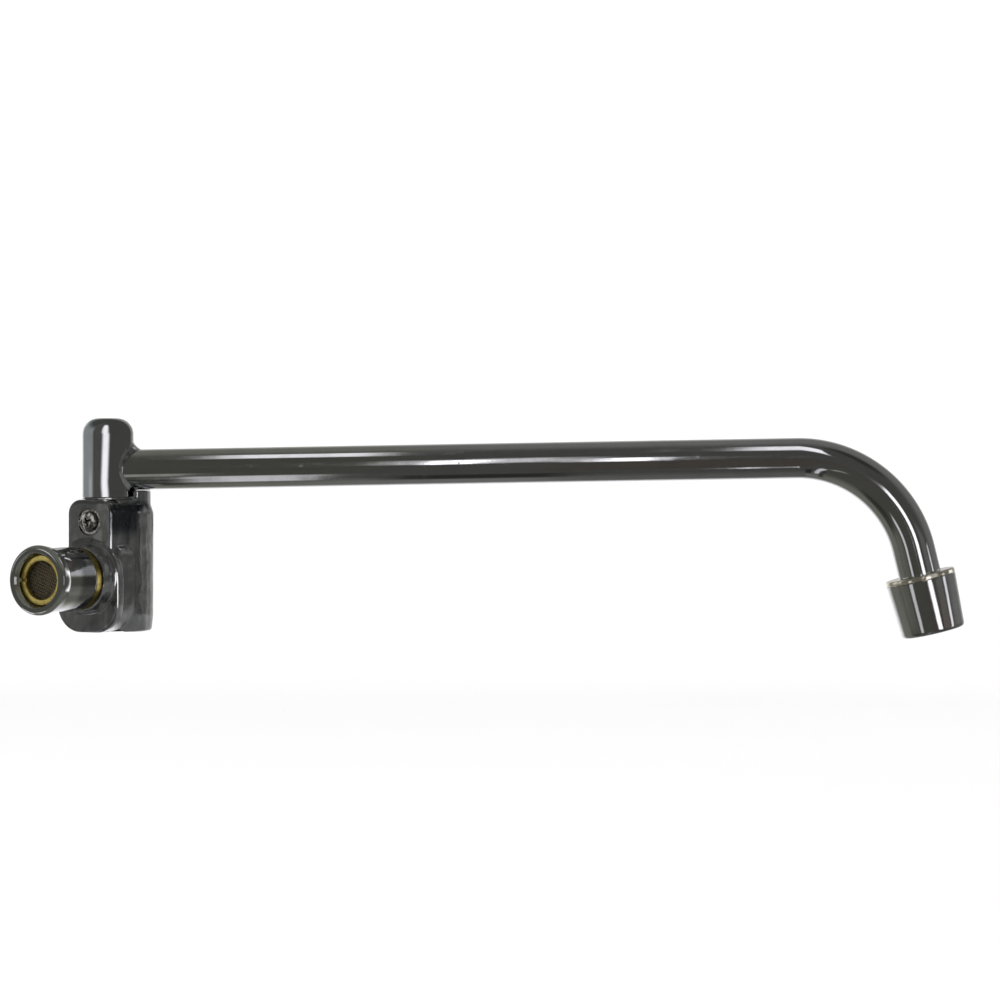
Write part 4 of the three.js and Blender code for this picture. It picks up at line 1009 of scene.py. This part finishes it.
def braze_fillet():
    """The plated braze in the corner of post and arm: large above and below, thin at the sides."""
    inner = TUBE_RADIUS - FILLET_SUNK
    rise = math.radians(SPOUT_RISE)

    def wall(radius, turn):
        """How far along the arm its line at this radius leaves the post."""
        reach = math.sqrt((POST_RADIUS - FILLET_SUNK) ** 2 - (radius * math.sin(turn)) ** 2)
        return (reach + radius * math.cos(turn) * math.sin(rise)) / math.cos(rise)

    vertices = []
    for turn in np.linspace(0, 2 * math.pi, FILLET_SECTIONS, endpoint=False):
        full = math.cos(turn) ** 2
        share = (1 + math.cos(turn)) / 2
        size = FILLET_BOTTOM + (FILLET_TOP - FILLET_BOTTOM) * share
        size *= 1 + 0.05 * math.sin(5 * turn + 1) + 0.04 * math.sin(11 * turn)  # laid by hand
        leg = size * (0.5 + 0.5 * full)
        climb = size * (0.45 + 0.55 * full)
        crest = inner + climb
        first = Vector((wall(inner, turn) + leg, inner))
        last = Vector((wall(crest, turn), crest))
        corner = Vector((wall(inner + 0.35 * climb, turn) + 0.3 * leg, inner + 0.25 * climb))
        section = [
            first * (1 - t) ** 2 + corner * 2 * t * (1 - t) + last * t**2
            for t in np.linspace(0, 1, FILLET_STEPS)
        ]
        root = Vector((wall(inner, turn), inner))
        section += [last.lerp(root, 0.5), root]
        vertices += [(p.x, p.y * math.sin(turn), p.y * math.cos(turn)) for p in section]
    count = FILLET_STEPS + 2
    faces = []
    for i in range(FILLET_SECTIONS):
        a, b = i * count, (i + 1) % FILLET_SECTIONS * count
        faces += [(a + j, b + j, b + (j + 1) % count, a + (j + 1) % count) for j in range(count)]
    return mesh_from("braze fillet", vertices, faces, arm_frame)


piece(post(), tube_chrome, "spout", "chrome_plate", "spout_post")
piece(spout_tube(), tube_chrome, "spout", "chrome_plate", "spout_tube")
piece(braze_fillet(), cast_chrome, "spout", "bare_brass", "braze_fillet", crease=50)

# ------------------------------------------------------------------ nozzle

piece(
    lathe("nozzle adapter", [
        (TAIL_RADIUS + TUBE_CLEARANCE, 0, 0.2),
        (NOZZLE_TOP, 0, 1.4),
        (NOZZLE_TOP, FLANGE_THICKNESS, 0.1),
        (SLEEVE_RADIUS, FLANGE_THICKNESS, 0),
        (SLEEVE_RADIUS, SLEEVE_LENGTH, 0),
        (TAIL_RADIUS - TUBE_WALL, SLEEVE_LENGTH, 0),
        (TAIL_RADIUS - TUBE_WALL, TUBE_ENGAGEMENT + CLEARANCE, 0),
        (TAIL_RADIUS + TUBE_CLEARANCE, TUBE_ENGAGEMENT + CLEARANCE, 0),
    ], nozzle_frame),
    nozzle_brass, "spout", "bare_brass", "nozzle_adapter",
)
piece(
    lathe("nozzle cap", [
        (CAP_BORE, FLANGE_THICKNESS + CLEARANCE, 0),
        (NOZZLE_TOP, FLANGE_THICKNESS + CLEARANCE, 0.25),
        (NOZZLE_BOTTOM, NOZZLE_LENGTH, 2),
        (MOUTH_RADIUS, NOZZLE_LENGTH, 0.4),
        (MOUTH_RADIUS, NOZZLE_LENGTH - MOUTH_LIP, 0),
        (CAP_BORE, NOZZLE_LENGTH - MOUTH_LIP, 0),
    ], nozzle_frame),
    turned_chrome, "spout", "chrome_plate", "nozzle_cap",
)

# ------------------------------------------------------------------ studio


def floor():
    """A pale sweep: flat floor that curves up far behind the object."""
    rows = [(-SWEEP_NEAR, 0)]
    for turn in np.linspace(0, math.pi / 2, 24):
        rows.append((SWEEP_FLAT + SWEEP_ROUND * math.sin(turn), SWEEP_ROUND * (1 - math.cos(turn))))
    rows.append((SWEEP_FLAT + SWEEP_ROUND, SWEEP_TOP))
    across = toward.cross(Vector((0, 0, 1)))
    vertices = []
    for away, rise in rows:
        for side in (-SWEEP_HALF_WIDTH, SWEEP_HALF_WIDTH):
            spot = look_at * MM - toward * away + across * side
            vertices.append(Vector((spot.x, spot.y, rise - FLOOR_DEPTH)) / MM)
    faces = [(2 * i, 2 * i + 1, 2 * i + 3, 2 * i + 2) for i in range(len(rows) - 1)]
    mesh = mesh_from("floor", vertices, faces)
    paint = Paint("pale floor")
    tint = paint.blend(paint.noise(paint.place(), 1.2), (0.86, 0.86, 0.86), (0.89, 0.89, 0.89))
    mesh.materials.append(paint.surface(tint, 0.8, (0, 0, 0), metallic=0.0))
    mesh.shade_smooth()
    sweep = show(mesh)
    sweep.visible_glossy = False
    return sweep


azimuth = math.radians(VIEW_AZIMUTH)
toward = Vector((math.sin(azimuth), -math.cos(azimuth), 0))  # from the object to the camera
image_right = Vector((0, 0, 1)).cross(toward)
look_at = swivel_frame @ Vector((VIEW_ALONG_SPOUT, 0, VIEW_HEIGHT))

OLIVE = (1.0, 1.0, 0.86)
GREY = (1.0, 0.99, 0.98)
BROWN = (1.0, 0.82, 0.75)
TEAL = (0.88, 1.0, 1.01)
LILAC = (0.99, 0.96, 1.02)


class Surroundings(Paint):
    """Light that the metal mirrors, laid out by its direction from the faucet, in degrees.

    Pan runs round the faucet from the camera to the right, and height is above the level. Along and
    climb say the same for the arm: along leans to its far end, and climb runs round its axis. Each
    window or strip is a row: how bright, then a middle and a half width each way, then how soft.
    """

    def __init__(self, name):
        super().__init__(name)
        self.direction = self.vector_math("NORMALIZE", self.place())
        self.front, self.side, self.up = (
            self.vector_math("DOT_PRODUCT", self.direction, axis, output=1)
            for axis in (toward, image_right, Vector((0, 0, 1)))
        )
        degrees = 180 / math.pi
        self.pan = self.math("ARCTAN2", self.side, self.front) * degrees
        self.height = self.up.math("ARCSINE") * degrees
        self.climb = self.math("ARCTAN2", self.up, self.front) * degrees
        self.along = self.side.math("ARCSINE") * degrees

    def window(self, level, pan, pan_half, height, height_half, soft):
        """A light with upright sides."""
        across = self.band(self.pan, pan, pan_half, soft)
        return level * across * self.band(self.height, height, height_half, soft)

    def strip(self, level, along, along_half, climb, climb_half, along_soft, climb_soft):
        """A light square to the arm, which mirrors only round its own axis."""
        across = self.band(self.climb, climb, climb_half, climb_soft)
        return level * self.band(self.along, along, along_half, along_soft) * across

    def windows(self, light, *rows):
        return sum((self.window(*row) for row in rows), light)

    def strips(self, light, *rows):
        return sum((self.strip(*row) for row in rows), light)

    def sphere(self, radius, light, shade, *receivers):
        """Opaque for all, or else clear and lighting only the receivers."""
        tint = self.blend(self.between(light, 0.0, 0.6), shade, LILAC)
        scaled = self.node("ShaderNodeVectorMath", {"operation": "SCALE"}, _0=tint, Scale=light)
        shader = self.node("ShaderNodeEmission", Color=self.field(scaled))
        if receivers:
            clear = self.node("ShaderNodeBsdfTransparent")
            both = self.node("ShaderNodeAddShader")
            self.tree.links.new(shader.outputs[0], both.inputs[0])
            self.tree.links.new(clear.outputs[0], both.inputs[1])
            shader = both
        mesh = bpy.data.meshes.new(self.material.name)
        build = bmesh.new()
        bmesh.ops.create_uvsphere(build, u_segments=64, v_segments=32, radius=radius)
        build.to_mesh(mesh)
        build.free()
        mesh.materials.append(self.finish(shader))
        thing = show(mesh)
        thing.location = look_at * MM
        thing.visible_camera = False
        thing.visible_diffuse = False
        thing.visible_shadow = False
        if receivers:
            lit = bpy.data.collections.new(self.material.name)
            for name in receivers:
                lit.objects.link(bpy.data.objects[name])
            thing.light_linking.receiver_collection = lit
        return thing


def dim_room():
    """A dark room with a pale wall behind the faucet, paler to the left and below."""
    room = Surroundings("dim room")
    wall = room.between(0 - room.front, 0.6, 1.0)
    low_left = room.between(0 - room.up - room.side, -0.1, 0.3)
    return room.sphere(ROOM_RADIUS, 0.02 + 0.95 * wall * (0.4 + 0.6 * low_left), OLIVE)


def arm_lights(radius):
    """Windows seen in the arm, the bend and the nozzle."""
    room = Surroundings("arm lights")
    below_far_end = room.between(room.along, 1.0, 3.0) * room.between(0 - room.climb, 50.0, 80.0)
    light = 0.047 + 0.1 * room.between(0 - room.front, -0.45, 0.3) * (1 - 0.5 * below_far_end)
    light = room.strips(
        light,
        (1.0, -4.8, 1.2, 66.0, 8.0, 0.8, 7.0),
        (0.28, -1.95, 0.45, 12.0, 7.0, 0.35, 8.0),
        (3.2, -1.0, 0.22, 10.0, 8.0, 0.35, 6.0),
        (0.4, -0.1, 0.5, 16.0, 8.0, 0.6, 8.0),
        (0.28, 0.9, 0.5, 16.0, 7.0, 0.5, 9.0),
        (2.2, 2.35, 0.35, 9.0, 7.0, 0.35, 5.0),
        (0.6, -4.0, 1.1, -66.0, 14.0, 0.4, 10.0),
        (0.25, -6.2, 0.5, -35.0, 5.0, 0.4, 5.0),
        (1.6, 5.65, 0.1, -53.0, 3.0, 0.1, 3.0),
    )
    slant = room.climb + 1.6 * (room.along - 4.3)
    light = light + 1.15 * room.band(slant, 60.0, 7.0, 9.0) * room.band(room.along, 8.6, 4.2, 0.9)
    leaning = room.pan + 0.5 * room.height
    edge = 1 - room.between(room.height - room.pan, -7.0, -5.0)
    light = light + 1.7 * room.band(leaning, 20.0, 4.5, 6.0) * room.band(room.height, 0.0, 17.0, 3.0) * edge
    light = room.windows(
        light,
        (0.6, -42.0, 3.5, -16.0, 9.0, 3.5),
        (0.9, 74.0, 3.0, 0.0, 9.0, 3.5),
        (0.06, 52.0, 9.0, 0.0, 12.0, 6.0),
        (0.05, -68.0, 10.0, -22.0, 9.0, 8.0),
    )
    beside_post = room.band(room.along, -6.2, 1.1, 0.3) * room.band(room.climb, -84.0, 20.0, 8.0)
    under = room.band(room.along, 0.6, 1.3, 0.8) * room.band(room.climb, -78.0, 8.0, 12.0)
    below = room.window(0.7, -74.0, 14.0, -42.0, 9.0, 11.0)
    above = room.window(0.7, 60.0, 12.0, 56.0, 8.0, 10.0)
    light = light * (1 - 0.9 * under) * (1 - 0.8 * beside_post) * (1 - below) * (1 - above)
    warm = room.band(room.climb, -25.0, 20.0, 15.0) * room.between(room.along, 0.5, 2.5)
    shade = room.blend(room.between(room.along, -3.5, -1.0), OLIVE, GREY)
    shade = room.blend(warm, shade, BROWN)
    return room.sphere(radius, light, shade, "spout-tube", "nozzle-cap", "nozzle-adapter")


def post_lights(radius):
    """The tall window seen in the post, and the glow at its left."""
    room = Surroundings("post lights")
    light = 0.045 + 0.02 * room.band(room.pan, -45.0, 20.0, 10.0)
    light = light + 0.23 * room.band(room.pan, -106.0, 34.0, 14.0) * room.band(room.height, 0.0, 20.0, 30.0)
    light = light + 0.14 * room.band(room.pan, -80.0, 5.0, 8.0) * room.between(0 - room.height, 0.0, 2.5)
    lean = room.pan - 1.2 * room.height * room.band(room.height, 0.0, 3.0, 2.0)
    light = light + 1.2 * room.band(lean, -5.0, 5.5, 16.0) * room.band(room.height, 20.0, 38.0, 14.0)
    shade = room.blend(room.between(room.pan, -75.0, -55.0), TEAL, GREY)
    return room.sphere(radius, light, shade, "spout-post")


def inlet_lights(radius):
    """Bright windows seen in the inlet's barrel and collar."""
    room = Surroundings("inlet lights")
    light = room.windows(
        0.058 + 0.07 * room.between(room.height.math("ABSOLUTE"), 14.0, 40.0),
        (0.42, 118.0, 5.0, 18.0, 6.0, 8.0),
        (0.06, 118.0, 8.0, -24.0, 6.0, 6.0),
        (1.3, 130.0, 5.0, -2.0, 16.0, 4.0),
        (0.5, 35.0, 4.0, 0.0, 10.0, 4.0),
        (0.5, -70.0, 7.0, -38.0, 6.0, 5.0),
        (0.9, -106.0, 9.0, -36.0, 6.0, 7.0),
        (0.5, 97.0, 9.0, 50.0, 6.0, 6.0),
        (0.8, -62.0, 4.0, 11.0, 4.0, 4.0),
        (0.6, -84.0, 4.0, 8.0, 5.0, 4.0),
    )
    return room.sphere(radius, light, OLIVE, "inlet-coupling")


def body_lights(radius):
    """Cluttered grey surroundings and a few windows seen in the casting."""
    room = Surroundings("body lights")
    clutter = room.between(room.noise(room.direction, 2.6, 2.0, 0.4), 0.36, 0.64)
    light = 0.03 + 0.075 * clutter + 0.1 * (0.4 + 0.6 * clutter) * room.between(room.pan, 85.0, 125.0)
    light = light + 0.1 * room.between(0 - room.height, 4.0, 10.0) * room.between(room.pan, 20.0, 60.0)
    light = light + 1.5 * room.band(room.pan, 3.0, 10.0, 22.0) * room.band(room.height, 0.0, 8.0, 6.0)
    light = room.windows(
        light,
        (0.06, 10.0, 22.0, -12.0, 16.0, 14.0),
        (0.05, -50.0, 10.0, 0.0, 12.0, 6.0),
        (1.3, 129.0, 5.0, 46.0, 5.0, 4.0),
        (0.5, -75.0, 6.0, -42.0, 6.0, 6.0),
    )
    return room.sphere(radius, light, GREY, "valve-body", "braze-fillet", "swivel_washer")


def mouth_lights(radius):
    """Even light that reaches the ring and the mesh in the inlet's mouth."""
    room = Surroundings("mouth lights")
    light = 0.38 + room.window(0.35, -60.0, 12.0, 10.0, 12.0, 10.0)
    return room.sphere(radius, light, OLIVE, "strainer-ring", "strainer-screen")


def ring_lights(radius):
    """One window seen in the lock ring beside the barrel."""
    room = Surroundings("ring lights")
    return room.sphere(radius, 0.04 + room.window(1.3, 116.0, 8.0, -6.0, 12.0, 8.0), GREY, "lock-ring")


def flange_lights(radius):
    """Windows seen in the flange on top of the nozzle."""
    room = Surroundings("flange lights")
    light = room.windows(
        0.05,
        (1.2, 117.0, 8.0, 0.0, 12.0, 8.0),
        (0.5, -95.0, 14.0, 10.0, 20.0, 9.0),
        (0.3, 32.0, 14.0, 0.0, 50.0, 10.0),
    )
    return room.sphere(radius, light, GREY, "nozzle-adapter")


def screw_lights(radius):
    """Broken light and dark seen in the head of the stop screw."""
    room = Surroundings("screw lights")
    patches = room.between(room.noise(room.direction, 2.4, 2.0, 0.5), 0.5, 0.58)
    return room.sphere(radius, 0.02 + 0.75 * patches, OLIVE, "stop-screw", "stop-screw-washer")


light_makers = (
    arm_lights, post_lights, inlet_lights, body_lights,
    mouth_lights, ring_lights, flange_lights, screw_lights,
)
lights = [make(ROOM_RADIUS - SHELL_STEP * place) for place, make in enumerate(light_makers, 1)]
floor()
dim_room()

world = bpy.data.worlds.new("white studio")
world.use_nodes = True
background = world.node_tree.nodes["Background"]
background.inputs["Color"].default_value = (1, 1, 1, 1)
background.inputs["Strength"].default_value = STUDIO_STRENGTH
bpy.context.scene.world = world
bpy.context.scene.view_settings.view_transform = "Standard"

camera = bpy.data.objects.new("camera", bpy.data.cameras.new("camera"))
bpy.context.scene.collection.objects.link(camera)
camera.data.angle = 2 * math.atan(VIEW_WIDTH / 2 / VIEW_DISTANCE)
camera.location = look_at * MM + toward * VIEW_DISTANCE
camera.rotation_euler = (-toward).to_track_quat("-Z", "Y").to_euler()
camera.data.clip_start = 0.05
camera.data.clip_end = 30
bpy.context.scene.camera = camera
